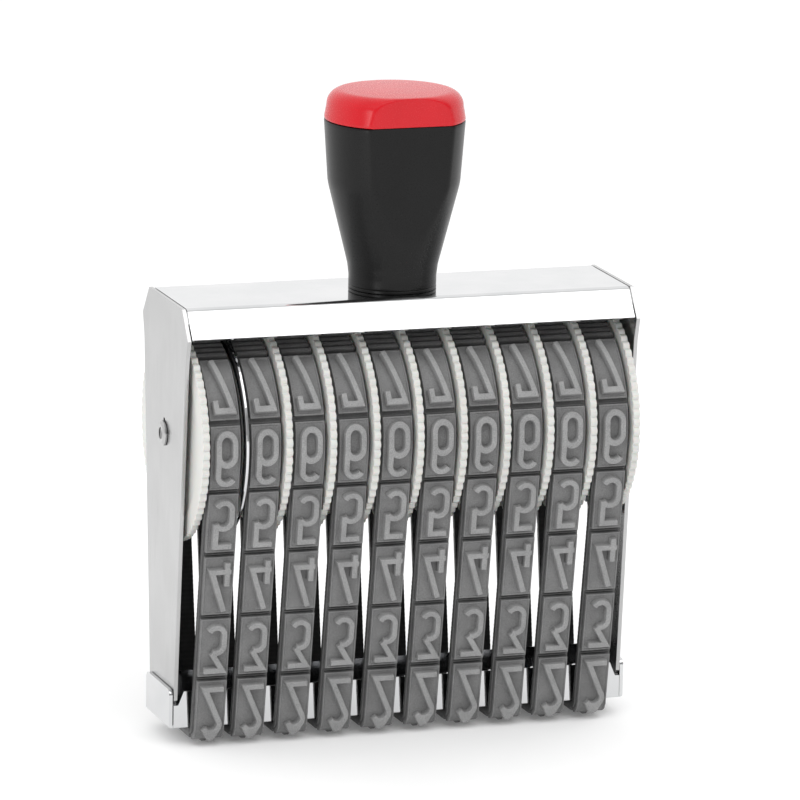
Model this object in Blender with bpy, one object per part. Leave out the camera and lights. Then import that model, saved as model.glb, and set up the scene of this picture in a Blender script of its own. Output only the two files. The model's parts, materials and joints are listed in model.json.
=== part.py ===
"""Ten-band rotary number stamp.

A row of toothed thumb wheels turns on one axle between two steel side plates. An endless rubber
band with raised numerals runs over each wheel and under the base channel. The handle stands on
the folded housing that closes the top.

X runs along the axle, -Y is the front and +Z is up. The origin is on the standing surface, below
the middle of the stamp.
"""

import math

import bmesh
import bpy
from mathutils import Matrix, Vector

MM = 0.001

# Gaps between separate pieces
SEAT_GAP = 0.2 * MM  # two pieces that are clamped or seated face to face
BAND_GAP = 0.3 * MM  # a rubber band over the wheel's drum or under the base channel
RUNNING_CLEARANCE = 0.2 * MM  # a round piece on the axle, on the radius
HOLE_CLEARANCE = 0.3 * MM  # a fastener or the axle in a hole of a fixed piece, on the radius

# Row of wheels and bands
BAND_COUNT = 10
BAND_WIDTH = 9.45 * MM
BAND_BASE = 1.5 * MM
TILE_RISE = 1.6 * MM
DIGIT_RISE = 1.6 * MM
TILE_PITCH = 18.35 * MM
PRINT_OFFSET = 1.1 * MM
SHORTEST_JOINT = 6.0 * MM
GROOVE_WIDTH = 1.4 * MM
DIGIT_HEIGHT = 15.0 * MM
STROKE_WIDTH = 1.8 * MM
STROKE_OFFSET = 0.3 * MM
FLAG_REACH = 2.4 * MM
FLAG_DROP = 3.0 * MM
RIM_RADIUS = 29.8 * MM
RIM_THICKNESS = 2.0 * MM
RIM_TO_BAND = 0.3 * MM
DRUM_RADIUS = 24.2 * MM
DRUM_WALL = 2.2 * MM
DRUM_OVERHANG = 0.3 * MM
HUB_RADIUS = 5.5 * MM
WHEEL_GAP = 0.45 * MM
DIVIDER_RADIUS = 29.3 * MM
DIVIDER_THICKNESS = 0.8 * MM
DIVIDER_GAP = 0.3 * MM
END_CLEARANCE = 1.15 * MM

# Axle
AXLE_RADIUS = 2.6 * MM
AXLE_ABOVE_BASE = 80.6 * MM
AXLE_HEAD_OVERHANG = 0.9 * MM
AXLE_HEAD_HEIGHT = 0.9 * MM

# Side plates and top housing
PLATE_THICKNESS = 1.1 * MM
HOUSING_END_GAP = 0.3 * MM
HOUSING_ABOVE_RIM = 7.8 * MM
HOUSING_SHEET = 0.8 * MM
TOP_HALF_DEPTH = 15.6 * MM
SHOULDER_HALF_DEPTH = 21.5 * MM
SHOULDER_DROP = 8.0 * MM
FLANGE_DROP = 7.6 * MM
NECK_HALF_DEPTH = 19.8 * MM
NECK_DROP = 6.4 * MM

# Base channel
CHANNEL_SHEET = 1.0 * MM
CHANNEL_HALF_DEPTH = 11.5 * MM
CHANNEL_BEND = 0.3 * MM
LEG_HEIGHT = 10.3 * MM
NOTCH_HEIGHT = 6.4 * MM
NOTCH_SLOPE = 1.6 * MM
CHEEK_HEIGHT = 10.9 * MM
CHEEK_INSET = 0.3 * MM
CHEEK_CORNER = 1.8 * MM

# Handle
COLLAR_HEIGHT = 0.8 * MM
HANDLE_NECK_RADIUS = 12.1 * MM
HANDLE_NECK_HEIGHT = 5.2 * MM
HANDLE_SHOULDER_RADIUS = 18.2 * MM
HANDLE_SHOULDER_HEIGHT = 29.5 * MM
HANDLE_TOP_RADIUS = 19.4 * MM
HANDLE_TOP_HEIGHT = 46.8 * MM
CAP_HEIGHT = 8.5 * MM
CAP_EDGE = 4.2 * MM
CAP_LEAN = 0.6 * MM
SPIGOT_RADIUS = 12.0 * MM
SPIGOT_DEPTH = 3.0 * MM
FACET_HALF_DEPTH = 15.2 * MM
FACET_TILT = math.radians(1.9)
SCREW_RADIUS = 2.0 * MM
SCREW_LENGTH = 20.0 * MM
SCREW_HEAD_RADIUS = 3.6 * MM
SCREW_HEAD_HEIGHT = 2.2 * MM
WASHER_RADIUS = 5.0 * MM
WASHER_THICKNESS = 1.0 * MM

# Facets of round shapes
WHEEL_SEGMENTS = 32
ROUND_SEGMENTS = 24
HANDLE_SEGMENTS = 48
WRAP_STEP = math.radians(10)
CORNER_STEP = math.radians(30)
EDGE_STEPS = 4
UNION_OVERLAP = 0.4 * MM
CUT_MARGIN = 5.0 * MM
MERGE_DISTANCE = 0.001 * MM
SHARP_ANGLE = math.radians(35)

# Heights above the standing surface
BASE_Z = DIGIT_RISE + TILE_RISE + BAND_BASE + BAND_GAP
AXLE_Z = BASE_Z + AXLE_ABOVE_BASE
HOUSING_Z = AXLE_Z + RIM_RADIUS + HOUSING_ABOVE_RIM
FLOOR_Z = BASE_Z + CHANNEL_SHEET

# The row along the axle: wheel 1 faces the other way, and the divider stands after it
WHEEL_WIDTH = DRUM_OVERHANG + BAND_WIDTH + RIM_TO_BAND + RIM_THICKNESS
DIVIDER_ROOM = DIVIDER_THICKNESS + 2 * DIVIDER_GAP
ROW_LENGTH = BAND_COUNT * WHEEL_WIDTH + (BAND_COUNT - 2) * WHEEL_GAP + DIVIDER_ROOM
INNER_HALF_WIDTH = ROW_LENGTH / 2 + END_CLEARANCE
OUTER_HALF_WIDTH = INNER_HALF_WIDTH + PLATE_THICKNESS

# The band's path: round the wheel, straight down to the channel's bends and across its underside
BAND_RADIUS = DRUM_RADIUS + BAND_GAP
BEND_RADIUS = CHANNEL_BEND + BAND_GAP
BEND_CENTRE = Vector((CHANNEL_HALF_DEPTH - CHANNEL_BEND, BASE_Z + CHANNEL_BEND))
NEUTRAL = BAND_BASE / 2
CENTRE_DROP = AXLE_Z - BEND_CENTRE.y
CENTRE_DISTANCE = math.hypot(BEND_CENTRE.x, CENTRE_DROP)
LEG_TILT = math.asin((BAND_RADIUS - BEND_RADIUS) / CENTRE_DISTANCE) - math.atan2(BEND_CENTRE.x, CENTRE_DROP)
LEG_LENGTH = math.sqrt(CENTRE_DISTANCE**2 - (BAND_RADIUS - BEND_RADIUS) ** 2)
BEND_ANGLE = math.pi / 2 - LEG_TILT
BEND_START = BEND_CENTRE.x
BEND_END = BEND_START + (BEND_RADIUS + NEUTRAL) * BEND_ANGLE
WRAP_START = BEND_END + LEG_LENGTH
WRAP_ANGLE = math.pi / 2 + LEG_TILT
HALF_BAND_LENGTH = WRAP_START + (BAND_RADIUS + NEUTRAL) * WRAP_ANGLE
BAND_LENGTH = 2 * HALF_BAND_LENGTH
TILE_COUNT = math.floor((BAND_LENGTH - SHORTEST_JOINT) / TILE_PITCH)


def clear_scene():
    """Remove everything that the scene starts with."""
    for obj in list(bpy.data.objects):
        bpy.data.objects.remove(obj)


def make_material(name, colour, roughness, metallic=0.0):
    """Return a Principled material."""
    material = bpy.data.materials.new(name)
    material.use_nodes = True
    shader = material.node_tree.nodes["Principled BSDF"]
    shader.inputs["Base Color"].default_value = (*colour, 1.0)
    shader.inputs["Roughness"].default_value = roughness
    shader.inputs["Metallic"].default_value = metallic
    return material


def finish_mesh(bm, name):
    """Turn a bmesh into mesh data with its normals outwards and its round faces smooth."""
    bmesh.ops.remove_doubles(bm, verts=bm.verts, dist=MERGE_DISTANCE)
    bmesh.ops.recalc_face_normals(bm, faces=bm.faces)
    mesh = bpy.data.meshes.new(name)
    bm.to_mesh(mesh)
    bm.free()
    mesh.shade_smooth()
    mesh.set_sharp_from_angle(angle=SHARP_ANGLE)
    return mesh


def place(mesh, name, material, location=(0, 0, 0), rotation_z=0.0):
    """Put mesh data into the scene as one named piece."""
    piece = bpy.data.objects.new(name, mesh)
    piece.location = location
    piece.rotation_euler.z = rotation_z
    if not mesh.materials:
        mesh.materials.append(material)
    bpy.context.scene.collection.objects.link(piece)
    return piece


def cutter(mesh, name, location=(0, 0, 0)):
    """Put mesh data into the scene as a helper that isn't a piece."""
    helper = bpy.data.objects.new(name, mesh)
    helper.location = location
    helper.hide_render = True
    helper.display_type = "WIRE"
    bpy.context.scene.collection.objects.link(helper)
    return helper


def combine(piece, helper, operation):
    """Add a Boolean with the exact solver."""
    modifier = piece.modifiers.new(helper.name, "BOOLEAN")
    modifier.solver = "EXACT"
    modifier.operation = operation
    modifier.object = helper


def prism(name, outlines, low, high, axis="X"):
    """Extrude closed outlines along an axis; the second outline, if any, is a hole in the first.

    For axis X an outline's points are (y, z), for axis Y they are (x, z).
    """
    bm = bmesh.new()
    for outline in outlines:
        corners = [(low, a, b) if axis == "X" else (a, low, b) for a, b in outline]
        verts = [bm.verts.new(corner) for corner in corners]
        for start, end in zip(verts, verts[1:] + verts[:1]):
            bm.edges.new((start, end))
    cap = bmesh.ops.triangle_fill(bm, use_beauty=True, use_dissolve=False, edges=bm.edges)
    faces = [item for item in cap["geom"] if isinstance(item, bmesh.types.BMFace)]
    raised = bmesh.ops.extrude_face_region(bm, geom=faces, use_keep_orig=True)
    moved = [item for item in raised["geom"] if isinstance(item, bmesh.types.BMVert)]
    depth = high - low
    shift = Vector((depth, 0, 0)) if axis == "X" else Vector((0, depth, 0))
    bmesh.ops.translate(bm, verts=moved, vec=shift)
    return finish_mesh(bm, name)


def box(name, low, high):
    """Return a box between two corners."""
    bm = bmesh.new()
    bmesh.ops.create_cube(bm, size=1.0)
    size = Vector(high) - Vector(low)
    centre = (Vector(high) + Vector(low)) / 2
    bmesh.ops.transform(bm, matrix=Matrix.Translation(centre) @ Matrix.Diagonal((*size, 1)), verts=bm.verts)
    return finish_mesh(bm, name)


def turned(name, profile, segments, axis="X", bored=True):
    """Spin a profile of (along, radius) points round an axis.

    A bored profile is a closed loop clear of the axis; one that isn't starts and ends on the axis.
    """
    bm = bmesh.new()
    corners = [(a, 0, r) if axis == "X" else (r, 0, a) for a, r in profile]
    verts = [bm.verts.new(corner) for corner in corners]
    edges = [bm.edges.new(pair) for pair in zip(verts, verts[1:])]
    if bored:
        edges.append(bm.edges.new((verts[-1], verts[0])))
    direction = (1, 0, 0) if axis == "X" else (0, 0, 1)
    bmesh.ops.spin(
        bm,
        geom=verts + edges,
        cent=(0, 0, 0),
        axis=direction,
        angle=math.tau,
        steps=segments,
        use_merge=True,
    )
    return finish_mesh(bm, name)


def mirrored(half):
    """Return a closed outline from its right half, listed from bottom to top."""
    return half + [(-y, z) for y, z in reversed(half)]


def wheel_start(number):
    """Return where a wheel begins along X, counting the wheels from 1 at the left."""
    start = -ROW_LENGTH / 2
    if number > 1:
        start += WHEEL_WIDTH + DIVIDER_ROOM + (number - 2) * (WHEEL_WIDTH + WHEEL_GAP)
    return start


def band_centre(number):
    """Return the middle of a band along X. Wheel 1 has its rim at the left, the others at the right."""
    before = RIM_THICKNESS + RIM_TO_BAND if number == 1 else DRUM_OVERHANG
    return wheel_start(number) + before + BAND_WIDTH / 2


def half_path_point(distance, offset):
    """Return (depth, height) on half of the band, at a length from the middle of the printing face.

    The length is measured along the neutral line, and the offset outwards from the inner surface.
    """
    if distance <= BEND_START:
        return distance, BASE_Z - BAND_GAP - offset
    if distance <= BEND_END:
        turn = (distance - BEND_START) / (BEND_RADIUS + NEUTRAL)
        radius = BEND_RADIUS + offset
        return BEND_CENTRE.x + radius * math.sin(turn), BEND_CENTRE.y - radius * math.cos(turn)
    if distance <= WRAP_START:
        along = distance - BEND_END
        radius = BEND_RADIUS + offset
        depth = BEND_CENTRE.x + radius * math.cos(LEG_TILT) + along * math.sin(LEG_TILT)
        return depth, BEND_CENTRE.y - radius * math.sin(LEG_TILT) + along * math.cos(LEG_TILT)
    turn = (distance - WRAP_START) / (BAND_RADIUS + NEUTRAL) - LEG_TILT
    radius = BAND_RADIUS + offset
    return radius * math.cos(turn), AXLE_Z + radius * math.sin(turn)


def path_point(distance, offset):
    """Return (y, z) on the whole band; lengths grow from the printing face up the front."""
    wrapped = (distance + HALF_BAND_LENGTH) % BAND_LENGTH - HALF_BAND_LENGTH
    depth, height = half_path_point(abs(wrapped), offset)
    return -math.copysign(depth, wrapped), height


def path_stations():
    """Return the lengths round the whole band at which its curved stretches need a point."""
    bend_steps = math.ceil(BEND_ANGLE / CORNER_STEP)
    wrap_steps = math.ceil(WRAP_ANGLE / WRAP_STEP)
    bend = [BEND_START + (BEND_END - BEND_START) * i / bend_steps for i in range(bend_steps + 1)]
    wrap_length = HALF_BAND_LENGTH - WRAP_START
    wrap = [WRAP_START + wrap_length * i / wrap_steps for i in range(wrap_steps + 1)]
    half = bend + wrap
    return half + [BAND_LENGTH - distance for distance in reversed(half[:-1])]


def band_outline():
    """Return the outer outline: raised tiles, then the shorter joint, with a groove after each."""
    laps = [s + turn * BAND_LENGTH for turn in (-1, 0) for s in path_stations()]
    first = PRINT_OFFSET - TILE_PITCH / 2
    grooves = [first + tile * TILE_PITCH for tile in range(TILE_COUNT + 1)]
    grooves.append(first + BAND_LENGTH)
    points = []
    for here, there in zip(grooves, grooves[1:]):
        start = here + GROOVE_WIDTH / 2
        end = there - GROOVE_WIDTH / 2
        over_tile = [s for s in laps if start < s < end]
        over_groove = [s for s in laps if end < s < end + GROOVE_WIDTH]
        points.append(path_point(start, BAND_BASE))
        points += [path_point(s, BAND_BASE + TILE_RISE) for s in [start, *over_tile, end]]
        points += [path_point(s, BAND_BASE) for s in [end, *over_groove]]
    return points


def digit_one_outline():
    """Return the numeral 1 as (x, y) on the printing face, mirrored as a stamp's type is."""
    foot, top = -DIGIT_HEIGHT / 2, DIGIT_HEIGHT / 2
    left, right = STROKE_OFFSET - STROKE_WIDTH / 2, STROKE_OFFSET + STROKE_WIDTH / 2
    return [
        (left, foot),
        (right, foot),
        (right, top),
        (left, top),
        (left - FLAG_REACH, top - FLAG_DROP),
        (left - FLAG_REACH, top - FLAG_DROP - STROKE_WIDTH),
        (left, top - STROKE_WIDTH),
    ]


def make_bands(rubber):
    """Make the ten endless bands: each prints a 1 and stands on it."""
    loop = [path_point(s, 0) for s in path_stations()]
    belt = prism("band_loop", [band_outline(), loop], -BAND_WIDTH / 2, BAND_WIDTH / 2)
    first = place(belt, "band_01", rubber, (band_centre(1), 0, 0))
    bm = bmesh.new()
    face = bm.faces.new([bm.verts.new((x, y, 0)) for x, y in digit_one_outline()])
    raised = bmesh.ops.extrude_face_region(bm, geom=[face], use_keep_orig=True)
    moved = [item for item in raised["geom"] if isinstance(item, bmesh.types.BMVert)]
    bmesh.ops.translate(bm, verts=moved, vec=(0, 0, DIGIT_RISE + UNION_OVERLAP))
    centre = first.location - Vector((0, PRINT_OFFSET, 0))
    digit = cutter(finish_mesh(bm, "digit_one"), "digit_one", centre)
    combine(first, digit, "UNION")
    bpy.context.view_layer.update()
    evaluated = first.evaluated_get(bpy.context.evaluated_depsgraph_get())
    whole = bpy.data.meshes.new_from_object(evaluated)
    whole.name = "number_band"
    for number in range(2, BAND_COUNT + 1):
        place(whole, f"band_{number:02d}", rubber, (band_centre(number), 0, 0))


def make_wheels(plastic):
    """Make the thumb wheels: a rim beside a hollow drum that carries the band, on a hub."""
    bore = AXLE_RADIUS + RUNNING_CLEARANCE
    flange = WHEEL_WIDTH - RIM_THICKNESS
    profile = [
        (WHEEL_WIDTH, bore),
        (WHEEL_WIDTH, RIM_RADIUS),
        (flange, RIM_RADIUS),
        (flange, DRUM_RADIUS),
        (0, DRUM_RADIUS),
        (0, DRUM_RADIUS - DRUM_WALL),
        (flange, DRUM_RADIUS - DRUM_WALL),
        (flange, HUB_RADIUS),
        (0, HUB_RADIUS),
        (0, bore),
    ]
    mesh = turned("thumb_wheel", profile, WHEEL_SEGMENTS)
    for number in range(1, BAND_COUNT + 1):
        start = wheel_start(number)
        if number == 1:
            place(mesh, "wheel_01", plastic, (start + WHEEL_WIDTH, 0, AXLE_Z), math.pi)
        else:
            place(mesh, f"wheel_{number:02d}", plastic, (start, 0, AXLE_Z))


def make_axle(steel):
    """Make the axle with its peened heads outside the side plates, and the divider disc on it."""
    inner = OUTER_HALF_WIDTH + SEAT_GAP
    outer = inner + AXLE_HEAD_HEIGHT
    profile = [
        (outer, 0),
        (outer, AXLE_RADIUS),
        (inner + AXLE_HEAD_HEIGHT / 2, AXLE_RADIUS + AXLE_HEAD_OVERHANG),
        (inner, AXLE_RADIUS + AXLE_HEAD_OVERHANG),
        (inner, AXLE_RADIUS),
    ]
    whole = profile + [(-x, radius) for x, radius in reversed(profile)]
    place(turned("axle", whole, ROUND_SEGMENTS, bored=False), "axle", steel, (0, 0, AXLE_Z))
    bore = AXLE_RADIUS + RUNNING_CLEARANCE
    half = DIVIDER_THICKNESS / 2
    ring = [(half, bore), (half, DIVIDER_RADIUS), (-half, DIVIDER_RADIUS), (-half, bore)]
    x = wheel_start(1) + WHEEL_WIDTH + DIVIDER_ROOM / 2
    place(turned("divider_disc", ring, WHEEL_SEGMENTS), "divider_disc", steel, (x, 0, AXLE_Z))


def make_side_plates(steel):
    """Make the two side plates; their heads follow the housing and their feet stand in the channel."""
    tongue = CHANNEL_HALF_DEPTH - CHANNEL_SHEET - SEAT_GAP
    neck_z = HOUSING_Z - SHOULDER_DROP - NECK_DROP
    seat_z = BASE_Z + NOTCH_HEIGHT + BAND_GAP
    half = [
        (tongue, FLOOR_Z + SEAT_GAP),
        (tongue, seat_z),
        (CHANNEL_HALF_DEPTH, seat_z + CHANNEL_HALF_DEPTH - tongue),
        (NECK_HALF_DEPTH, neck_z),
        (SHOULDER_HALF_DEPTH, HOUSING_Z - SHOULDER_DROP),
        (TOP_HALF_DEPTH, HOUSING_Z),
    ]
    mesh = prism("side_plate", [mirrored(half)], -PLATE_THICKNESS / 2, PLATE_THICKNESS / 2)
    x = (INNER_HALF_WIDTH + OUTER_HALF_WIDTH) / 2
    reach = OUTER_HALF_WIDTH + CUT_MARGIN
    radius = AXLE_RADIUS + HOLE_CLEARANCE
    drill = [(reach, 0), (reach, radius), (-reach, radius), (-reach, 0)]
    hole = cutter(turned("axle_hole", drill, ROUND_SEGMENTS, bored=False), "axle_hole", (0, 0, AXLE_Z))
    for name, side in (("side_plate_left", -1), ("side_plate_right", 1)):
        combine(place(mesh, name, steel, (side * x, 0, 0)), hole, "DIFFERENCE")


def make_housing(steel):
    """Make the folded top sheet with its two sloping flanges, between the side plates."""
    slope = (SHOULDER_HALF_DEPTH - TOP_HALF_DEPTH) / SHOULDER_DROP
    edge = TOP_HALF_DEPTH + slope * FLANGE_DROP
    inset = HOUSING_SHEET * math.hypot(1, slope)
    fold = HOUSING_SHEET * (math.hypot(1, slope) - slope)
    outer = [(edge, HOUSING_Z - FLANGE_DROP), (TOP_HALF_DEPTH, HOUSING_Z)]
    inner = [
        (TOP_HALF_DEPTH - fold, HOUSING_Z - HOUSING_SHEET),
        (edge - inset, HOUSING_Z - FLANGE_DROP),
    ]
    outline = outer + [(-y, z) for y, z in reversed(outer)] + [(-y, z) for y, z in reversed(inner)] + inner
    reach = INNER_HALF_WIDTH - HOUSING_END_GAP
    housing = place(prism("top_housing", [outline], -reach, reach), "top_housing", steel)
    top, bottom = HOUSING_Z + CUT_MARGIN, HOUSING_Z - CUT_MARGIN
    radius = SCREW_RADIUS + HOLE_CLEARANCE
    drill = [(top, 0), (top, radius), (bottom, radius), (bottom, 0)]
    hole = cutter(turned("screw_hole", drill, ROUND_SEGMENTS, "Z", bored=False), "screw_hole")
    combine(housing, hole, "DIFFERENCE")


def channel_outline():
    """Return the channel's U as (y, z), with round outer bends."""
    centre = CHANNEL_HALF_DEPTH - CHANNEL_BEND
    top = BASE_Z + LEG_HEIGHT
    steps = math.ceil(math.pi / 2 / CORNER_STEP)
    turns = [math.pi / 2 * i / steps for i in range(steps + 1)]
    bend = [(centre + CHANNEL_BEND * math.sin(t), BASE_Z + CHANNEL_BEND * (1 - math.cos(t))) for t in turns]
    outer = [*bend, (CHANNEL_HALF_DEPTH, top)]
    inner = [(CHANNEL_HALF_DEPTH - CHANNEL_SHEET, top), (CHANNEL_HALF_DEPTH - CHANNEL_SHEET, FLOOR_Z)]
    half = outer + inner
    return half + [(-y, z) for y, z in reversed(half)]


def cheek_outline():
    """Return an end cheek as (y, z), with its two upper corners round."""
    half = CHANNEL_HALF_DEPTH - CHEEK_INSET
    top = BASE_Z + CHEEK_HEIGHT
    turns = [math.pi / 2 * i / EDGE_STEPS for i in range(EDGE_STEPS + 1)]
    corner = [
        (half - CHEEK_CORNER * (1 - math.cos(t)), top - CHEEK_CORNER * (1 - math.sin(t))) for t in turns
    ]
    return mirrored([(half, BASE_Z), *corner])


def make_base_channel(steel):
    """Make the chromed channel: notched legs for the side plates, and a cheek outside each plate."""
    reach = OUTER_HALF_WIDTH
    channel = place(prism("base_channel", [channel_outline()], -reach, reach), "base_channel", steel)
    notch_z = BASE_Z + NOTCH_HEIGHT
    top = BASE_Z + LEG_HEIGHT + CUT_MARGIN
    rise = LEG_HEIGHT - NOTCH_HEIGHT
    foot = INNER_HALF_WIDTH - SEAT_GAP
    head = foot - NOTCH_SLOPE
    far = reach + CUT_MARGIN
    notch = [(foot, notch_z), (far, notch_z), (far, top), (head, top), (head, notch_z + rise)]
    span = CHANNEL_HALF_DEPTH + CUT_MARGIN
    cheek_low = OUTER_HALF_WIDTH + SEAT_GAP
    cheek_high = cheek_low + CHANNEL_SHEET
    for side, name in ((-1, "left"), (1, "right")):
        mesh = prism(f"notch_{name}", [[(side * x, z) for x, z in notch]], -span, span, "Y")
        combine(channel, cutter(mesh, f"notch_{name}"), "DIFFERENCE")
        low, high = sorted((side * cheek_low, side * cheek_high))
        cheek = cutter(prism(f"cheek_{name}", [cheek_outline()], low, high), f"cheek_{name}")
        combine(channel, cheek, "UNION")
        low, high = sorted((side * (reach - UNION_OVERLAP), side * (cheek_low + UNION_OVERLAP)))
        half = CHANNEL_HALF_DEPTH - CHANNEL_BEND
        bridge = cutter(box(f"bridge_{name}", (low, -half, BASE_Z), (high, half, FLOOR_Z)), f"bridge_{name}")
        combine(channel, bridge, "UNION")


def facet_cutter(name, side):
    """Return a block whose inner face is the flat facet at the front (-1) or back (1) of the handle."""
    reach = HANDLE_TOP_RADIUS + CUT_MARGIN
    seam = HOUSING_Z + HANDLE_TOP_HEIGHT
    depth = 2 * HANDLE_TOP_RADIUS
    height = HANDLE_TOP_HEIGHT + CAP_HEIGHT
    mesh = box(name, (-reach, 0, -height), (reach, depth, height))
    block = cutter(mesh, name, (0, side * FACET_HALF_DEPTH, seam))
    block.rotation_euler = (-FACET_TILT, 0, 0) if side > 0 else (-FACET_TILT, 0, math.pi)
    return block


def make_handle(black, red):
    """Make the collar, the grip and its cap; one pair of flat facets runs over both."""
    low = HOUSING_Z + SEAT_GAP
    bore = SCREW_RADIUS + HOLE_CLEARANCE
    ring = [
        (low, bore),
        (low, HANDLE_NECK_RADIUS),
        (low + COLLAR_HEIGHT, HANDLE_NECK_RADIUS),
        (low + COLLAR_HEIGHT, bore),
    ]
    place(turned("handle_collar", ring, HANDLE_SEGMENTS, "Z"), "handle_collar", black)

    foot = low + COLLAR_HEIGHT + SEAT_GAP
    seam = HOUSING_Z + HANDLE_TOP_HEIGHT
    socket_radius = SPIGOT_RADIUS + SEAT_GAP
    socket_floor = seam - SPIGOT_DEPTH - SEAT_GAP
    screw_end = HOUSING_Z + SCREW_LENGTH + SEAT_GAP
    grip = [
        (screw_end, 0),
        (screw_end, bore),
        (foot, bore),
        (foot, HANDLE_NECK_RADIUS),
        (HOUSING_Z + HANDLE_NECK_HEIGHT, HANDLE_NECK_RADIUS),
        (HOUSING_Z + HANDLE_SHOULDER_HEIGHT, HANDLE_SHOULDER_RADIUS),
        (seam, HANDLE_TOP_RADIUS),
        (seam, socket_radius),
        (socket_floor, socket_radius),
        (socket_floor, 0),
    ]
    body = place(turned("handle_body", grip, HANDLE_SEGMENTS, "Z", bored=False), "handle_body", black)

    base = seam + SEAT_GAP
    top = HOUSING_Z + HANDLE_TOP_HEIGHT + CAP_HEIGHT
    shoulder = HANDLE_TOP_RADIUS - CAP_LEAN
    turns = [math.pi / 2 * i / EDGE_STEPS for i in range(EDGE_STEPS + 1)]
    edge = [(top - CAP_EDGE * (1 - math.sin(t)), shoulder - CAP_EDGE * (1 - math.cos(t))) for t in turns]
    dome = [
        (seam - SPIGOT_DEPTH, 0),
        (seam - SPIGOT_DEPTH, SPIGOT_RADIUS),
        (base, SPIGOT_RADIUS),
        (base, HANDLE_TOP_RADIUS),
        *edge,
        (top, 0),
    ]
    cap = place(turned("handle_cap", dome, HANDLE_SEGMENTS, "Z", bored=False), "handle_cap", red)
    for name, side in (("facet_front", -1), ("facet_back", 1)):
        block = facet_cutter(name, side)
        combine(body, block, "DIFFERENCE")
        combine(cap, block, "DIFFERENCE")


def make_handle_screw(steel):
    """Make the screw that holds the handle from inside the housing, and its washer."""
    under = HOUSING_Z - HOUSING_SHEET - SEAT_GAP
    washer_low = under - WASHER_THICKNESS
    bore = SCREW_RADIUS + HOLE_CLEARANCE
    ring = [(washer_low, bore), (washer_low, WASHER_RADIUS), (under, WASHER_RADIUS), (under, bore)]
    place(turned("screw_washer", ring, ROUND_SEGMENTS, "Z"), "screw_washer", steel)
    head_top = washer_low - SEAT_GAP
    profile = [
        (head_top - SCREW_HEAD_HEIGHT, 0),
        (head_top - SCREW_HEAD_HEIGHT, SCREW_HEAD_RADIUS),
        (head_top, SCREW_HEAD_RADIUS),
        (head_top, SCREW_RADIUS),
        (HOUSING_Z + SCREW_LENGTH, SCREW_RADIUS),
        (HOUSING_Z + SCREW_LENGTH, 0),
    ]
    place(turned("handle_screw", profile, ROUND_SEGMENTS, "Z", bored=False), "handle_screw", steel)


def main():
    """Build the stamp."""
    clear_scene()
    bright_steel = make_material("nickel_plated_steel", (0.62, 0.62, 0.62), 0.15, 1.0)
    chrome = make_material("chromed_steel", (0.7, 0.7, 0.7), 0.08, 1.0)
    rubber = make_material("grey_rubber", (0.14, 0.14, 0.14), 0.7)
    ivory = make_material("white_plastic", (0.82, 0.82, 0.8), 0.4)
    black = make_material("black_plastic", (0.02, 0.02, 0.02), 0.3)
    red = make_material("red_plastic", (0.75, 0.015, 0.025), 0.3)
    make_side_plates(bright_steel)
    make_housing(bright_steel)
    make_base_channel(chrome)
    make_axle(bright_steel)
    make_wheels(ivory)
    make_bands(rubber)
    make_handle(black, red)
    make_handle_screw(bright_steel)


main()
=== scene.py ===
"""The looks of a ten-band number stamp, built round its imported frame.

Each sub-assembly of the stamp is a class: the sheet-steel frame, the toothed thumb wheels, the
endless number bands and the handle. The studio is one more class. Every piece is modelled at its
own place in the stamp, so that it stands where the frame says.
"""

import json
import logging
import math
from collections.abc import Callable, Iterator
from contextlib import contextmanager
from dataclasses import dataclass, field
from enum import Enum
from itertools import pairwise

import bmesh
import bpy
from mathutils import Matrix, Vector


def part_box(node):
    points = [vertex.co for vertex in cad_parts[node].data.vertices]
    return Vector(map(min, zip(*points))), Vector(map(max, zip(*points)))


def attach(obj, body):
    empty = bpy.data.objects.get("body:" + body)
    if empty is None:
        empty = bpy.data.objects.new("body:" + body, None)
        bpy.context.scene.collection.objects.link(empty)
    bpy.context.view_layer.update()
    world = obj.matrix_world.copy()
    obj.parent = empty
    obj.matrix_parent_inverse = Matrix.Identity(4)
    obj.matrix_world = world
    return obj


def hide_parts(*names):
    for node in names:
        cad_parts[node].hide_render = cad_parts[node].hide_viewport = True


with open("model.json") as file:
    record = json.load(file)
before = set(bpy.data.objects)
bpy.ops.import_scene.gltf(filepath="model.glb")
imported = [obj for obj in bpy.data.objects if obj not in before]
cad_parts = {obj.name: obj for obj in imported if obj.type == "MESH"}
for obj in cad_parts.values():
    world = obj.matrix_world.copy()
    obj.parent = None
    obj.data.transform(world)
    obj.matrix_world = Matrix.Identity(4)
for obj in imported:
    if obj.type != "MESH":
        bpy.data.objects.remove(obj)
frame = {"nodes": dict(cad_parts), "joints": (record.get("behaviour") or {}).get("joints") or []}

MM = 0.001
ROOT = "root"
MERGE_DISTANCE = 0.0005 * MM
Point = tuple[float, float]
X_AXIS = Vector((1, 0, 0))
Z_AXIS = Vector((0, 0, 1))
log = logging.getLogger("number_stamp")


# ---------------------------------------------------------------- bench tools


def clear_selection() -> None:
    """Leave edit mode and deselect everything."""
    if bpy.context.mode != "OBJECT":
        bpy.ops.object.mode_set(mode="OBJECT")
    bpy.ops.object.select_all(action="DESELECT")


def take(piece: bpy.types.Object) -> None:
    """Make one object the only selected one, and the active one."""
    clear_selection()
    piece.select_set(True)
    bpy.context.view_layer.objects.active = piece


@contextmanager
def editing(piece: bpy.types.Object, mode: str = "VERT") -> Iterator[None]:
    """Edit one object's mesh, with nothing selected to start with.

    Args:
        piece: The object to edit.
        mode: VERT, EDGE or FACE.
    """
    take(piece)
    bpy.ops.object.mode_set(mode="EDIT")
    bpy.ops.mesh.select_mode(type=mode)
    bpy.ops.mesh.select_all(action="DESELECT")
    yield
    bpy.ops.object.mode_set(mode="OBJECT")


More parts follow.
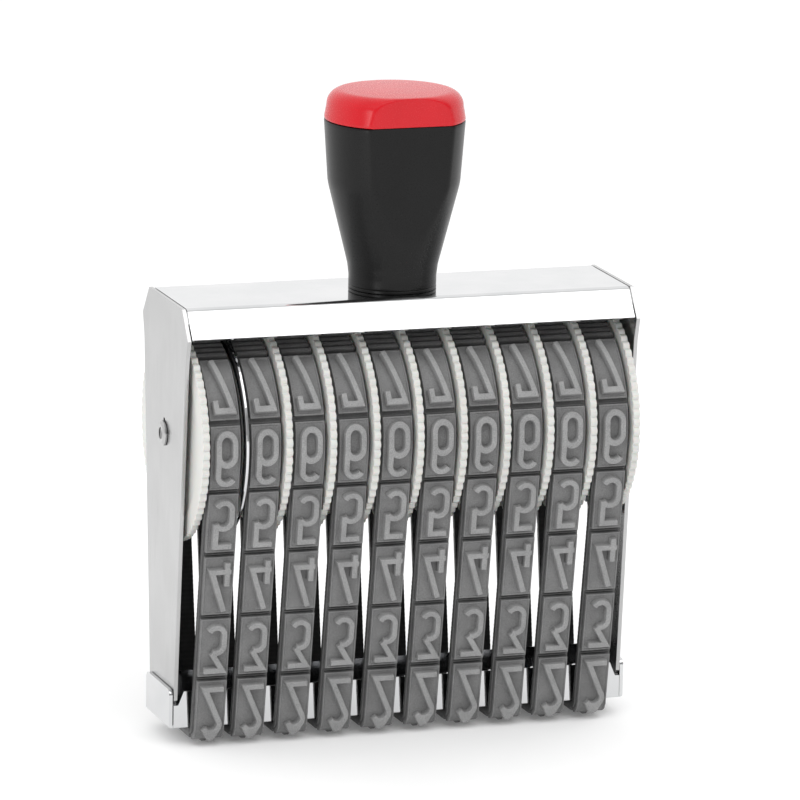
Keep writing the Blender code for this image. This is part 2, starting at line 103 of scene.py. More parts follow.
def pick_vertices(piece: bpy.types.Object, test: Callable[[Vector], bool]) -> None:
    """Select only the vertices whose place passes a test, in edit mode.

    Args:
        piece: The object being edited.
        test: Takes a place and says whether it is wanted.
    """
    bm = bmesh.from_edit_mesh(piece.data)
    for vertex in bm.verts:
        vertex.select_set(test(vertex.co))
    bm.select_flush_mode()
    bmesh.update_edit_mesh(piece.data)


def pick_edges(piece: bpy.types.Object, test: Callable[[Vector, Vector], bool]) -> None:
    """Select only the edges that pass a test, in edit mode.

    Args:
        piece: The object being edited.
        test: Takes an edge's two ends and says whether it is wanted.
    """
    bm = bmesh.from_edit_mesh(piece.data)
    bm.select_mode = {"EDGE"}
    for edge in bm.edges:
        edge.select_set(test(edge.verts[0].co, edge.verts[1].co))
    bm.select_flush_mode()
    bmesh.update_edit_mesh(piece.data)


def pick_faces(piece: bpy.types.Object, test: Callable[[Vector, Vector], bool]) -> None:
    """Select only the faces that pass a test, in edit mode.

    Args:
        piece: The object being edited.
        test: Takes a face's centre and normal and says whether it is wanted.
    """
    bm = bmesh.from_edit_mesh(piece.data)
    bm.select_mode = {"FACE"}
    for face in bm.faces:
        face.select_set(test(face.calc_center_median(), face.normal))
    bm.select_flush_mode()
    bmesh.update_edit_mesh(piece.data)


def named(name: str) -> bpy.types.Object:
    """Name the object that an operator has just added, and return it."""
    piece = bpy.context.object
    piece.name = name
    piece.data.name = name
    return piece


def settle(piece: bpy.types.Object) -> None:
    """Move an object's place, turn and scale into its mesh."""
    take(piece)
    bpy.ops.object.transform_apply(location=True, rotation=True, scale=True)


def block(name: str, low: Vector, high: Vector) -> bpy.types.Object:
    """Add a cube primitive stretched between two corners.

    Args:
        name: The object's name.
        low: The corner with the lowest coordinates.
        high: The corner with the highest coordinates.

    Returns:
        The block.
    """
    clear_selection()
    low, high = Vector(low), Vector(high)
    bpy.ops.mesh.primitive_cube_add(size=1, location=(low + high) / 2)
    piece = named(name)
    piece.scale = high - low
    settle(piece)
    return piece


def blank(name: str, centre: Vector, width: float, depth: float) -> bpy.types.Object:
    """Add a level plane primitive, a blank of sheet to fold.

    Args:
        name: The object's name.
        centre: The blank's middle.
        width: Its size along X.
        depth: Its size along Y.

    Returns:
        The blank.
    """
    clear_selection()
    bpy.ops.mesh.primitive_plane_add(size=1, location=centre)
    piece = named(name)
    piece.scale = (width, depth, 1)
    settle(piece)
    return piece


def rod(name: str, radius: float, start: Vector, end: Vector, sides: int = 48) -> bpy.types.Object:
    """Add a cylinder primitive between two points.

    Args:
        name: The object's name.
        radius: The rod's radius.
        start: The middle of one end.
        end: The middle of the other end.
        sides: The number of flats round it.

    Returns:
        The rod.
    """
    clear_selection()
    start, end = Vector(start), Vector(end)
    turn = (end - start).to_track_quat("Z", "Y").to_euler()
    bpy.ops.mesh.primitive_cylinder_add(
        vertices=sides, radius=radius, depth=(end - start).length, location=(start + end) / 2, rotation=turn
    )
    piece = named(name)
    settle(piece)
    return piece


def modify(piece: bpy.types.Object, kind: str, **settings: object) -> None:
    """Add a modifier, set it and apply it.

    Args:
        piece: The object to change.
        kind: The modifier's type.
        **settings: The modifier's values by name.
    """
    take(piece)
    modifier = piece.modifiers.new(kind.title(), kind)
    for key, value in settings.items():
        setattr(modifier, key, value)
    bpy.ops.object.modifier_apply(modifier=modifier.name)


def cut(piece: bpy.types.Object, tool: bpy.types.Object) -> None:
    """Cut a tool's shape out of a piece and throw the tool away."""
    modify(piece, "BOOLEAN", operation="DIFFERENCE", solver="EXACT", object=tool)
    bpy.data.objects.remove(tool)


def fuse(piece: bpy.types.Object, addition: bpy.types.Object) -> None:
    """Make an overlapping shape one body with a piece."""
    modify(piece, "BOOLEAN", operation="UNION", solver="EXACT", object=addition)
    bpy.data.objects.remove(addition)


def break_edges(piece: bpy.types.Object, width: float, steps: int = 2, angle: float = 35) -> None:
    """Round every sharp edge a little, as a deburred or moulded edge is.

    Args:
        piece: The object to change.
        width: The width of the rounding.
        steps: The number of faces across it.
        angle: The least angle in degrees that counts as sharp.
    """
    modify(
        piece,
        "BEVEL",
        width=width,
        segments=steps,
        limit_method="ANGLE",
        angle_limit=math.radians(angle),
        miter_outer="MITER_ARC",
        harden_normals=False,
    )


def tidy_normals(piece: bpy.types.Object) -> None:
    """Merge doubled vertices and turn every face outwards."""
    with editing(piece):
        bpy.ops.mesh.select_all(action="SELECT")
        bpy.ops.mesh.remove_doubles(threshold=MERGE_DISTANCE)
        bpy.ops.mesh.normals_make_consistent(inside=False)
        if bmesh.from_edit_mesh(piece.data).calc_volume(signed=True) < 0:
            bpy.ops.mesh.flip_normals()


def smooth(piece: bpy.types.Object, angle: float = 35) -> None:
    """Shade a piece smooth, but for edges sharper than an angle in degrees, and keep its flat faces flat."""
    take(piece)
    bpy.ops.object.shade_smooth_by_angle(angle=math.radians(angle))
    modify(piece, "WEIGHTED_NORMAL", keep_sharp=True, weight=100)


def draw_chain(name: str, points: list[tuple[float, float, float]], closed: bool = False) -> bpy.types.Object:
    """Draw a chain of edges by extruding one vertex from point to point.

    Args:
        name: The object's name.
        points: The places to draw through, in metres.
        closed: Whether the last point is joined to the first.

    Returns:
        The chain.
    """
    clear_selection()
    bpy.ops.mesh.primitive_plane_add(size=MM)
    chain = named(name)
    with editing(chain):
        bpy.ops.mesh.select_all(action="SELECT")
        bpy.ops.mesh.merge(type="CENTER")
        bpy.ops.transform.translate(value=points[0])
        for here, there in pairwise(points):
            step = Vector(there) - Vector(here)
            bpy.ops.mesh.extrude_region_move(TRANSFORM_OT_translate={"value": step})
        if closed:
            ends = (Vector(points[0]), Vector(points[-1]))
            pick_vertices(chain, lambda place: min((place - end).length for end in ends) < MERGE_DISTANCE)
            bpy.ops.mesh.edge_face_add()
    return chain


def extruded(name: str, outline: list[tuple[float, float, float]], step: Vector) -> bpy.types.Object:
    """Draw a closed outline, fill it and extrude it.

    Args:
        name: The object's name.
        outline: The places round the outline, in one plane.
        step: The way and the distance to extrude.

    Returns:
        The extruded piece.
    """
    piece = draw_chain(name, outline, closed=True)
    with editing(piece, "EDGE"):
        bpy.ops.mesh.select_all(action="SELECT")
        bpy.ops.mesh.edge_face_add()
        bpy.ops.mesh.extrude_region_move(TRANSFORM_OT_translate={"value": step})
    tidy_normals(piece)
    return piece


def spin_profile(
    name: str,
    profile: list[Point],
    steps: int,
    axis: Vector,
    centre: Vector = Vector((0, 0, 0)),
    closed: bool = True,
) -> bpy.types.Object:
    """Turn a piece from its profile, as on a lathe.

    Args:
        name: The object's name.
        profile: Points as (distance along the axis, radius). One that isn't closed ends on the axis.
        steps: The number of steps round the turn.
        axis: The axis, X or Z.
        centre: A point on the axis.
        closed: Whether the profile is a loop clear of the axis.

    Returns:
        The turned piece.
    """
    along_x = abs(axis.x) > 0
    points = [(a, 0, r) if along_x else (r, 0, a) for a, r in profile]
    points = [tuple(Vector(point) + centre) for point in points]
    piece = draw_chain(name, points, closed)
    with editing(piece):
        bpy.ops.mesh.select_all(action="SELECT")
        bpy.ops.mesh.spin(steps=steps, angle=math.tau, center=centre, axis=axis)
    tidy_normals(piece)
    return piece


def arc(centre: Point, radius: float, start: float, end: float, steps: int) -> list[Point]:
    """Return points along an arc.

    Args:
        centre: The arc's centre.
        radius: The arc's radius.
        start: The angle at its start, in degrees.
        end: The angle at its end, in degrees.
        steps: The number of steps between the two.

    Returns:
        The points, both ends included.
    """
    turns = [math.radians(start + (end - start) * i / steps) for i in range(steps + 1)]
    return [(centre[0] + radius * math.cos(t), centre[1] + radius * math.sin(t)) for t in turns]


def copy_of(piece: bpy.types.Object, name: str, move: Matrix) -> bpy.types.Object:
    """Copy a modelled piece, with a mesh of its own at its own place.

    Args:
        piece: The piece to copy.
        name: The copy's name.
        move: Where the copy goes.

    Returns:
        The copy.
    """
    take(piece)
    bpy.ops.object.duplicate(linked=False)
    twin = named(name)
    twin.data.transform(move)
    return twin


def hand_over(
    piece: bpy.types.Object, material: bpy.types.Material, body: str, node: str
) -> bpy.types.Object:
    """Give a finished piece its material and its body, and hide the frame's node that it stands for.

    Args:
        piece: The finished piece.
        material: Its material.
        body: The body that it moves with.
        node: The frame's node that it replaces.

    Returns:
        The piece.
    """
    settle(piece)
    piece.data.materials.clear()
    piece.data.materials.append(material)
    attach(piece, body)
    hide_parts(node)
    log.info("%s: %d faces", piece.name, len(piece.data.polygons))
    return piece


# ---------------------------------------------------------------- finishes


def linear(colour: str) -> tuple[float, float, float, float]:
    """Turn an sRGB hex colour into the linear values that a shader takes.

    Args:
        colour: Six hex digits.

    Returns:
        Red, green, blue and alpha.
    """
    shares = [int(colour[i : i + 2], 16) / 255 for i in (0, 2, 4)]
    curve = [s / 12.92 if s <= 0.04045 else ((s + 0.055) / 1.055) ** 2.4 for s in shares]
    return (*curve, 1.0)


def add_node(
    tree: bpy.types.NodeTree,
    kind: str,
    links: dict[str, bpy.types.NodeSocket] | None = None,
    **settings: object,
) -> bpy.types.Node:
    """Add a node with its settings and links.

    Args:
        tree: The node tree.
        kind: The node's type.
        links: Output sockets by the name or identifier of the input that each goes to.
        **settings: Values by the name of a property, or of an input with _ for each space.

    Returns:
        The node.
    """
    node = tree.nodes.new(kind)
    sockets = {}
    for socket in node.inputs:
        sockets.setdefault(socket.identifier.replace(" ", "_"), socket)
        sockets.setdefault(socket.name.replace(" ", "_"), socket)
    for key, value in settings.items():
        if hasattr(node, key):
            setattr(node, key, value)
        else:
            sockets[key].default_value = value
    for key, output in (links or {}).items():
        tree.links.new(output, sockets[key])
    return node


def start_material(name: str) -> tuple[bpy.types.Material, bpy.types.NodeTree, bpy.types.Node]:
    """Make a material with only a Principled shader and its output.

    Args:
        name: The material's name.

    Returns:
        The material, its node tree and its shader.
    """
    material = bpy.data.materials.new(name)
    material.use_nodes = True
    tree = material.node_tree
    return material, tree, tree.nodes["Principled BSDF"]


def grain(
    tree: bpy.types.NodeTree,
    size: float,
    stretch: tuple[float, float, float] = (1, 1, 1),
    detail: float = 3,
) -> bpy.types.NodeSocket:
    """Add noise on object coordinates.

    Args:
        tree: The node tree.
        size: The size of one blotch, in metres.
        stretch: How much longer a blotch is along each axis.
        detail: The number of finer layers.

    Returns:
        The noise's value output.
    """
    place = add_node(tree, "ShaderNodeTexCoord")
    scale = tuple(1 / (size * s) for s in stretch)
    spread = add_node(tree, "ShaderNodeMapping", {"Vector": place.outputs["Object"]}, Scale=scale)
    where = {"Vector": spread.outputs["Vector"]}
    noise = add_node(tree, "ShaderNodeTexNoise", where, Scale=1.0, Detail=detail)
    return noise.outputs["Fac"]


def span(
    tree: bpy.types.NodeTree,
    value: bpy.types.NodeSocket,
    low: float,
    high: float,
    start: float = 0.35,
    end: float = 0.65,
) -> bpy.types.NodeSocket:
    """Map a value's usual range to another range.

    Args:
        tree: The node tree.
        value: The output to map.
        low: The result at the start.
        high: The result at the end.
        start: The value that gives the low result.
        end: The value that gives the high result.

    Returns:
        The mapped output.
    """
    mapped = add_node(
        tree, "ShaderNodeMapRange", {"Value": value}, From_Min=start, From_Max=end, To_Min=low, To_Max=high
    )
    return mapped.outputs["Result"]


def blend(
    tree: bpy.types.NodeTree, share: bpy.types.NodeSocket, first: str, second: str
) -> bpy.types.NodeSocket:
    """Mix two colours by an output.

    Args:
        tree: The node tree.
        share: The output that says how much of the second there is.
        first: The first colour, sRGB hex.
        second: The second colour, sRGB hex.

    Returns:
        The mixed colour output.
    """
    mix = add_node(
        tree,
        "ShaderNodeMix",
        {"Factor_Float": share},
        data_type="RGBA",
        A_Color=linear(first),
        B_Color=linear(second),
    )
    return next(output for output in mix.outputs if output.identifier == "Result_Color")


@dataclass(frozen=True)
class PlatedSheet:
    """Steel sheet, rolled and then plated bright: near-mirror, with a faint grain and soft waves."""

    name: str
    light: str
    dark: str
    roughness: float
    grain_length: float = 14 * MM
    grain_width: float = 0.35 * MM
    wave_size: float = 16 * MM

    def make(self) -> bpy.types.Material:
        """Build the material; its grain runs up the sheet, and reads as a faint satin streak."""
        material, tree, shader = start_material(self.name)
        stretch = (1, 1, self.grain_length / self.grain_width)
        streaks = grain(tree, self.grain_width, stretch, detail=2)
        smears = grain(tree, self.wave_size)
        colour = blend(tree, span(tree, smears, 0, 1), self.dark, self.light)
        tree.links.new(colour, shader.inputs["Base Color"])
        rough = span(tree, streaks, self.roughness * 0.8, self.roughness * 1.3)
        tree.links.new(rough, shader.inputs["Roughness"])
        waves = add_node(tree, "ShaderNodeBump", {"Height": smears}, Strength=0.05, Distance=0.05 * MM)
        scratches = add_node(
            tree,
            "ShaderNodeBump",
            {"Height": streaks, "Normal": waves.outputs["Normal"]},
            Strength=0.05,
            Distance=0.01 * MM,
        )
        tree.links.new(scratches.outputs["Normal"], shader.inputs["Normal"])
        shader.inputs["Metallic"].default_value = 1.0
        return material


@dataclass(frozen=True)
class BandRubber:
    """Moulded grey stamp rubber: matt, with light and shade painted by height: lighter on top of the type,
    and painted shade darker down in the moulding.
    """

    name: str = "moulded_stamp_rubber"
    # Ramp colours by height are painted light and shade: the inner face is painted shade, floor and panel
    # step lighter, and the type's top is painted lit.
    floor: str = "545454"
    panel: str = "767676"
    type_top: str = "909090"
    inside: str = "1E1E1E"
    speckle: float = 0.22 * MM
    blotch: float = 6 * MM
    sheen_patch: float = 1.5 * MM
    ior: float = 1.52

    def make(self, heights: "BandHeights") -> bpy.types.Material:
        """Build the material, whose painted light and shade follow the height above the band's inner face.

        Args:
            heights: The band's levels, which the mesh carries as an attribute.

        Returns:
            The material.
        """
        material, tree, shader = start_material(self.name)
        level = add_node(tree, "ShaderNodeAttribute", attribute_name=NumberBands.LEVEL)
        share = span(tree, level.outputs["Fac"], 0, 1, 0, heights.top)
        # Painted shade: the lower a vertex lies in the moulding, the darker it is painted; the type's top is
        # painted lighter.
        ramp = add_node(tree, "ShaderNodeValToRGB", {"Fac": share})
        stops = [
            (0.0, self.inside),
            (heights.base * 0.8 / heights.top, self.floor),
            (heights.panel / heights.top, self.panel),
            (1.0, self.type_top),
        ]
        elements = ramp.color_ramp.elements
        for _ in stops[2:]:
            elements.new(0.5)
        for element, (place, colour) in zip(elements, stops):
            element.position = place
            element.color = linear(colour)
        dust = span(tree, grain(tree, self.speckle, detail=4), 0.78, 1.22)
        blotches = span(tree, grain(tree, self.blotch), 0.9, 1.08)
        both = add_node(tree, "ShaderNodeMath", {"Value": dust, "Value_001": blotches}, operation="MULTIPLY")
        tint = add_node(
            tree,
            "ShaderNodeVectorMath",
            {"Vector": ramp.outputs["Color"], "Scale": both.outputs["Value"]},
            operation="SCALE",
        )
        tree.links.new(tint.outputs["Vector"], shader.inputs["Base Color"])
        rough = span(tree, grain(tree, self.sheen_patch), 0.5, 0.68)
        tree.links.new(rough, shader.inputs["Roughness"])
        specks = {"Height": grain(tree, self.speckle, detail=4)}
        bump = add_node(tree, "ShaderNodeBump", specks, Strength=0.35, Distance=0.05 * MM)
        tree.links.new(bump.outputs["Normal"], shader.inputs["Normal"])
        shader.inputs["IOR"].default_value = self.ior
        return material


@dataclass(frozen=True)
class MouldedPlastic:
    """Injection-moulded plastic: an even colour with faint flow marks and the mould's fine texture."""

    name: str
    colour: str
    shade: str
    roughness: float
    texture: float
    texture_depth: float
    ior: float = 1.5
    subsurface: float = 0.0
    gloss_level: float = 0.5
    flow_mark: float = 9 * MM
    scatter_depth: float = 0.6 * MM

    def make(self) -> bpy.types.Material:
        """Build the material; the texture breaks up the highlight as a spark-eroded mould does."""
        material, tree, shader = start_material(self.name)
        shader.inputs["Specular IOR Level"].default_value = self.gloss_level
        flow = grain(tree, self.flow_mark, (1, 1, 2.5))
        fine = grain(tree, self.texture, detail=4)
        colour = blend(tree, span(tree, flow, 0, 1), self.shade, self.colour)
        tree.links.new(colour, shader.inputs["Base Color"])
        rough = span(tree, fine, self.roughness * 0.85, self.roughness * 1.2)
        tree.links.new(rough, shader.inputs["Roughness"])
        bump = add_node(tree, "ShaderNodeBump", {"Height": fine}, Strength=0.25, Distance=self.texture_depth)
        tree.links.new(bump.outputs["Normal"], shader.inputs["Normal"])
        shader.inputs["IOR"].default_value = self.ior
        shader.inputs["Subsurface Weight"].default_value = self.subsurface
        shader.inputs["Subsurface Scale"].default_value = self.scatter_depth
        return material


# Side plates, axle, screw and washer: nickel-plated, a touch greyer and softer than the chrome
NICKEL = PlatedSheet("nickel_plated_steel", light="BABABA", dark="B4B4B4", roughness=0.2)
# Housing, base channel and divider disc: polished and chromed, so they mirror what is round them
CHROME = PlatedSheet("chromed_steel", light="DADADB", dark="D2D3D4", roughness=0.05)
# Thumb wheels: acetal, milky and slightly soft in its highlights
ACETAL = MouldedPlastic(
    "white_acetal",
    colour="D9D9D5",
    shade="D2D2CE",
    roughness=0.38,
    texture=0.3 * MM,
    texture_depth=0.02 * MM,
    ior=1.48,
    subsurface=0.15,
)
# Grip and collar: ABS with a fine satin texture, which keeps the black deep and its gloss low
BLACK_ABS = MouldedPlastic(
    "black_abs",
    colour="141414",
    shade="111111",
    roughness=0.3,
    texture=0.25 * MM,
    texture_depth=0.012 * MM,
    ior=1.53,
    gloss_level=0.2,
)
# Cap: ABS, glossier than the grip, which gives its rounded edge a bright line
RED_ABS = MouldedPlastic(
    "red_abs",
    colour="CC1521",
    shade="C6111D",
    roughness=0.24,
    texture=0.3 * MM,
    texture_depth=0.01 * MM,
    ior=1.4,
)


# ---------------------------------------------------------------- sheet-steel frame


@dataclass
class SheetSteelFrame:
    """The side plates, top housing, base channel, axle and divider disc."""

    nickel: bpy.types.Material
    chrome: bpy.types.Material
    edge_break: float = 0.15 * MM
    top_half_depth: float = 15.6 * MM
    shoulder_drop: float = 8.0 * MM
    neck_half_depth: float = 19.8 * MM
    neck_drop: float = 14.4 * MM
    seat_rise: float = 6.7 * MM
    housing_sheet: float = 0.8 * MM
    housing_fold: float = 1.1 * MM
    channel_sheet: float = 1.0 * MM
    channel_fold: float = 0.3 * MM
    leg_height: float = 10.3 * MM
    notch_height: float = 6.4 * MM
    notch_slope: float = 1.6 * MM
    cheek_corner: float = 1.8 * MM
    cheek_inset: float = 0.3 * MM
    cheek_fold: float = 0.7 * MM
    axle_radius: float = 2.6 * MM
    recess_share: float = 0.62
    recess_depth: float = 0.8 * MM
    axle_lip: float = 0.25 * MM
    slot_bar_width: float = 0.8 * MM
    disc_lip: float = 0.15 * MM
    hole_clearance: float = 0.3 * MM
    key_notch: float = 1.3 * MM
    running_clearance: float = 0.2 * MM
    screw_hole: float = 2.3 * MM
    cutter_reach: float = 10 * MM
    cutter_margin: float = 1 * MM
    turn_steps: int = 96

    def outline_strip(self, name: str, stations: list[Point]) -> bpy.types.Object:
        """Model a flat strip in the YZ plane, by extruding its lower edge from height to height.

        Args:
            name: The object's name.
            stations: The half-depth and height of each level, from the top down.

        Returns:
            The strip, at X = 0.
        """
        clear_selection()
        bpy.ops.mesh.primitive_plane_add(size=1, rotation=(0, math.pi / 2, 0))
        strip = named(name)
        settle(strip)
        with editing(strip):
            for side, (depth, height) in zip((1, -1), stations):
                pick_vertices(strip, lambda place, side=side: place.z * side > 0.25 and abs(place.z) > 0.4)
                bpy.ops.transform.resize(value=(1, 2 * depth, 1))
                bpy.ops.transform.translate(value=(0, 0, height - side / 2))
            for (last_depth, last_height), (depth, height) in pairwise(stations[1:]):
                pick_vertices(strip, lambda place, z=last_height: abs(place.z - z) < MERGE_DISTANCE)
                step = (0, 0, height - last_height)
                bpy.ops.mesh.extrude_region_move(TRANSFORM_OT_translate={"value": step})
                factor = (1, depth / last_depth, 1)
                bpy.ops.transform.resize(value=factor, center_override=(0, 0, height))
        return strip

    def side_plates(self) -> None:
        """Model both plates: flat blanks with a drilled and notched hole for the axle."""
        low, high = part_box("side_plate_left")
        channel_low, channel_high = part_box("base_channel")
        foot_half_depth = channel_high.y
        tongue = foot_half_depth - self.channel_sheet - self.running_clearance
        seat = channel_low.z + self.seat_rise
        stations = [
            (self.top_half_depth, high.z),
            (high.y, high.z - self.shoulder_drop),
            (self.neck_half_depth, high.z - self.neck_drop),
            (foot_half_depth, seat + foot_half_depth - tongue),
            (tongue, seat),
            (tongue, low.z),
        ]
        pattern = self.outline_strip("side_plate_pattern", stations)
        modify(pattern, "SOLIDIFY", thickness=high.x - low.x, offset=0)
        tidy_normals(pattern)
        axle = Vector(frame["joints"][0]["pos_m"])
        reach = Vector((self.cutter_reach, 0, 0))
        cut(pattern, rod("axle_hole", self.axle_radius + self.hole_clearance, axle - reach, axle + reach))
        half_notch = Vector((self.cutter_reach, self.key_notch / 2, 0))
        notch_low = axle - half_notch
        notch_reach = self.axle_radius + self.hole_clearance + self.key_notch
        notch_high = axle + half_notch + Vector((0, 0, notch_reach))
        cut(pattern, block("key_notch", notch_low, notch_high))
        break_edges(pattern, self.edge_break)
        for name in ("side_plate_left", "side_plate_right"):
            low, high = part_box(name)
            plate = copy_of(pattern, f"{name}_sheet", Matrix.Translation(((low.x + high.x) / 2, 0, 0)))
            smooth(plate)
            hand_over(plate, self.nickel, ROOT, name)
        bpy.data.objects.remove(pattern)

    def top_housing(self) -> None:
        """Fold the top housing from one sheet: a flat top with a sloping flange on each long side."""
        low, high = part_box("top_housing")
        sheet = blank("top_housing_sheet", (0, 0, high.z), high.x - low.x, 2 * self.top_half_depth)
        with editing(sheet):
            for side in (-1, 1):
                edge_y = side * self.top_half_depth
                pick_vertices(sheet, lambda place, y=edge_y: abs(place.y - y) < MERGE_DISTANCE)
                step = (0, side * (high.y - self.top_half_depth), low.z - high.z)
                bpy.ops.mesh.extrude_region_move(TRANSFORM_OT_translate={"value": step})
            bpy.ops.mesh.select_all(action="SELECT")
            bpy.ops.mesh.normals_make_consistent(inside=False)
            pick_faces(sheet, lambda centre, normal: abs(normal.z) > 0.99)
            self.point_up(sheet)
            crest = high.z - MERGE_DISTANCE
            pick_edges(sheet, lambda a, b: min(a.z, b.z) > crest and abs(a.y - b.y) < MERGE_DISTANCE)
            bpy.ops.mesh.bevel(offset=self.housing_fold, segments=7, affect="EDGES")
        modify(sheet, "SOLIDIFY", thickness=self.housing_sheet, offset=-1)
        top = Vector((0, 0, high.z + self.housing_sheet))
        cut(sheet, rod("screw_hole", self.screw_hole, top - self.cutter_reach / 2 * Z_AXIS, top))
        break_edges(sheet, self.edge_break, angle=50)
        smooth(sheet)
        hand_over(sheet, self.chrome, ROOT, "top_housing")

    @staticmethod
    def point_up(sheet: bpy.types.Object) -> None:
        """Flip an open sheet in edit mode if its picked face points down."""
        bm = bmesh.from_edit_mesh(sheet.data)
        if next(face for face in bm.faces if face.select).normal.z < 0:
            bpy.ops.mesh.select_all(action="SELECT")
            bpy.ops.mesh.flip_normals()

    def base_channel(self) -> None:
        """Fold the base channel, cut the seats for the plates and add the end cheeks."""
        low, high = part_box("base_channel")
        plate_low, plate_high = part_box("side_plate_right")
        half, bottom, fold = high.y, low.z, self.channel_fold
        corner = arc((half - fold, bottom + fold), fold, 0, -90, 4)
        top, inner = bottom + self.leg_height, half - self.channel_sheet
        right = [(inner, bottom + self.channel_sheet), (inner, top), (half, top), *corner]
        outline = right + [(-y, z) for y, z in reversed(right)]
        start = [(-plate_high.x, y, z) for y, z in outline]
        sheet = extruded("base_channel_sheet", start, (2 * plate_high.x, 0, 0))
        for side in (-1, 1):
            cut(sheet, self.seat_cutter(side, bottom, plate_low.x - self.running_clearance, high))
            fuse(sheet, self.cheek(side, bottom, high))
            x_low, x_high = sorted((side * (plate_high.x - fold), side * (high.x - fold)))
            depth, tab_top = half - 2 * fold, bottom + self.channel_sheet
            fuse(sheet, block("floor_tab", (x_low, -depth, bottom), (x_high, depth, tab_top)))
        tidy_normals(sheet)
        break_edges(sheet, self.edge_break, angle=50)
        smooth(sheet)
        hand_over(sheet, self.chrome, ROOT, "base_channel")

    def seat_cutter(self, side: int, bottom: float, seat_x: float, high: Vector) -> bpy.types.Object:
        """Model the shape that clears a side plate's foot: upright, with one slanting side.

        Args:
            side: -1 for the left end, 1 for the right.
            bottom: The height of the channel's underside.
            seat_x: Where the seat starts along X.
            high: The channel's highest corner.

        Returns:
            The cutter.
        """
        top = bottom + self.leg_height
        rise = self.leg_height - self.notch_height
        near, far = seat_x - self.notch_slope, high.x + self.cutter_reach / 2
        x_low, x_high = sorted((side * near, side * far))
        margin = self.cutter_margin
        cutter = block(
            "seat_cutter",
            (x_low, -high.y - margin, bottom + self.notch_height),
            (x_high, high.y + margin, top + margin),
        )
        with editing(cutter):
            pick_vertices(
                cutter,
                lambda place: abs(place.x - side * near) < MERGE_DISTANCE and place.z < top,
            )
            bpy.ops.transform.translate(value=(side * self.notch_slope, 0, 0))
            pick_vertices(
                cutter,
                lambda place: abs(place.x - side * near) < MERGE_DISTANCE and place.z > top,
            )
            bpy.ops.transform.translate(value=(-side * self.notch_slope * margin / rise, 0, 0))
        return cutter

    def cheek(self, side: int, bottom: float, high: Vector) -> bpy.types.Object:
        """Model an end cheek, which stands outside the side plate and is folded up from the bottom.

        Args:
            side: -1 for the left end, 1 for the right.
            bottom: The height of the channel's underside.
            high: The channel's highest corner.

        Returns:
            The cheek.
        """
        half, r, outer = high.y - self.cheek_inset, self.cheek_corner, side * high.x
        right = [(half, bottom), *arc((half - r, high.z - r), r, 0, 90, 6)]
        outline = right + [(-y, z) for y, z in reversed(right)]
        step = (-side * self.channel_sheet, 0, 0)
        tab = extruded("cheek", [(outer, y, z) for y, z in outline], step)
        with editing(tab, "EDGE"):
            foot = 2 * bottom + self.edge_break

            def is_outer_foot(a: Vector, b: Vector) -> bool:
                """Say whether an edge is the one at the foot of the outer face."""
                return a.x == b.x and abs(a.x - outer) < MERGE_DISTANCE and a.z + b.z < foot

            pick_edges(tab, is_outer_foot)
            bpy.ops.mesh.bevel(offset=self.cheek_fold, segments=4, affect="EDGES")
        tidy_normals(tab)
        return tab

    def axle(self) -> None:
        """Turn the axle; each end is peened over and has a slotted recess."""
        low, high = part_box("axle")
        plate_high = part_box("side_plate_right")[1]
        centre = Vector((0, 0, (low.z + high.z) / 2))
        head = high.z - centre.z
        inner = plate_high.x + self.running_clearance
        recess, depth, lip = self.recess_share * self.axle_radius, self.recess_depth, self.axle_lip
        end = [
            (high.x - depth, 0),
            (high.x - depth, recess),
            (high.x - lip / 2, recess),
            (high.x, recess + lip),
            (high.x, self.axle_radius),
            (high.x - lip, head - lip),
            (high.x - 2 * lip, head),
            (inner, head),
            (inner, self.axle_radius),
        ]
        profile = end + [(-x, r) for x, r in reversed(end)]
        piece = spin_profile("axle_rod", profile, self.turn_steps, X_AXIS, centre, closed=False)
        for side in (-1, 1):
            x_low, x_high = sorted((side * (high.x - 1.5 * depth), side * (high.x - lip)))
            corner = Vector((0, self.slot_bar_width / 2, recess + lip))
            bar_low = centre - corner + Vector((x_low, 0, 0))
            bar_high = centre + corner + Vector((x_high, 0, 0))
            fuse(piece, block("slot_bar", bar_low, bar_high))
        tidy_normals(piece)
        smooth(piece)
        hand_over(piece, self.nickel, ROOT, "axle")

    def divider_disc(self) -> None:
        """Turn the bright disc that stands between the first two wheels."""
        low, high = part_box("divider_disc")
        centre = Vector((0, 0, (low.z + high.z) / 2))
        radius, bore = high.z - centre.z, self.axle_radius + self.running_clearance
        lip = self.disc_lip
        profile = [
            (high.x, bore),
            (high.x, radius - lip),
            (high.x - lip, radius),
            (low.x + lip, radius),
            (low.x, radius - lip),
            (low.x, bore),
        ]
        piece = spin_profile("divider_disc_turned", profile, 2 * self.turn_steps, X_AXIS, centre)
        smooth(piece)
        hand_over(piece, self.chrome, ROOT, "divider_disc")

    def dress_screw(self) -> None:
        """Give the hidden screw and washer their plating."""
        for name in ("handle_screw", "screw_washer"):
            mesh = frame["nodes"][name].data
            mesh.materials.clear()
            mesh.materials.append(self.nickel)
            log.info("%s: kept from the frame", name)

    def build(self) -> None:
        """Make every sheet and turned piece of the frame."""
        self.side_plates()
        self.top_housing()
        self.base_channel()
        self.axle()
        self.divider_disc()
        self.dress_screw()


# ---------------------------------------------------------------- thumb wheels


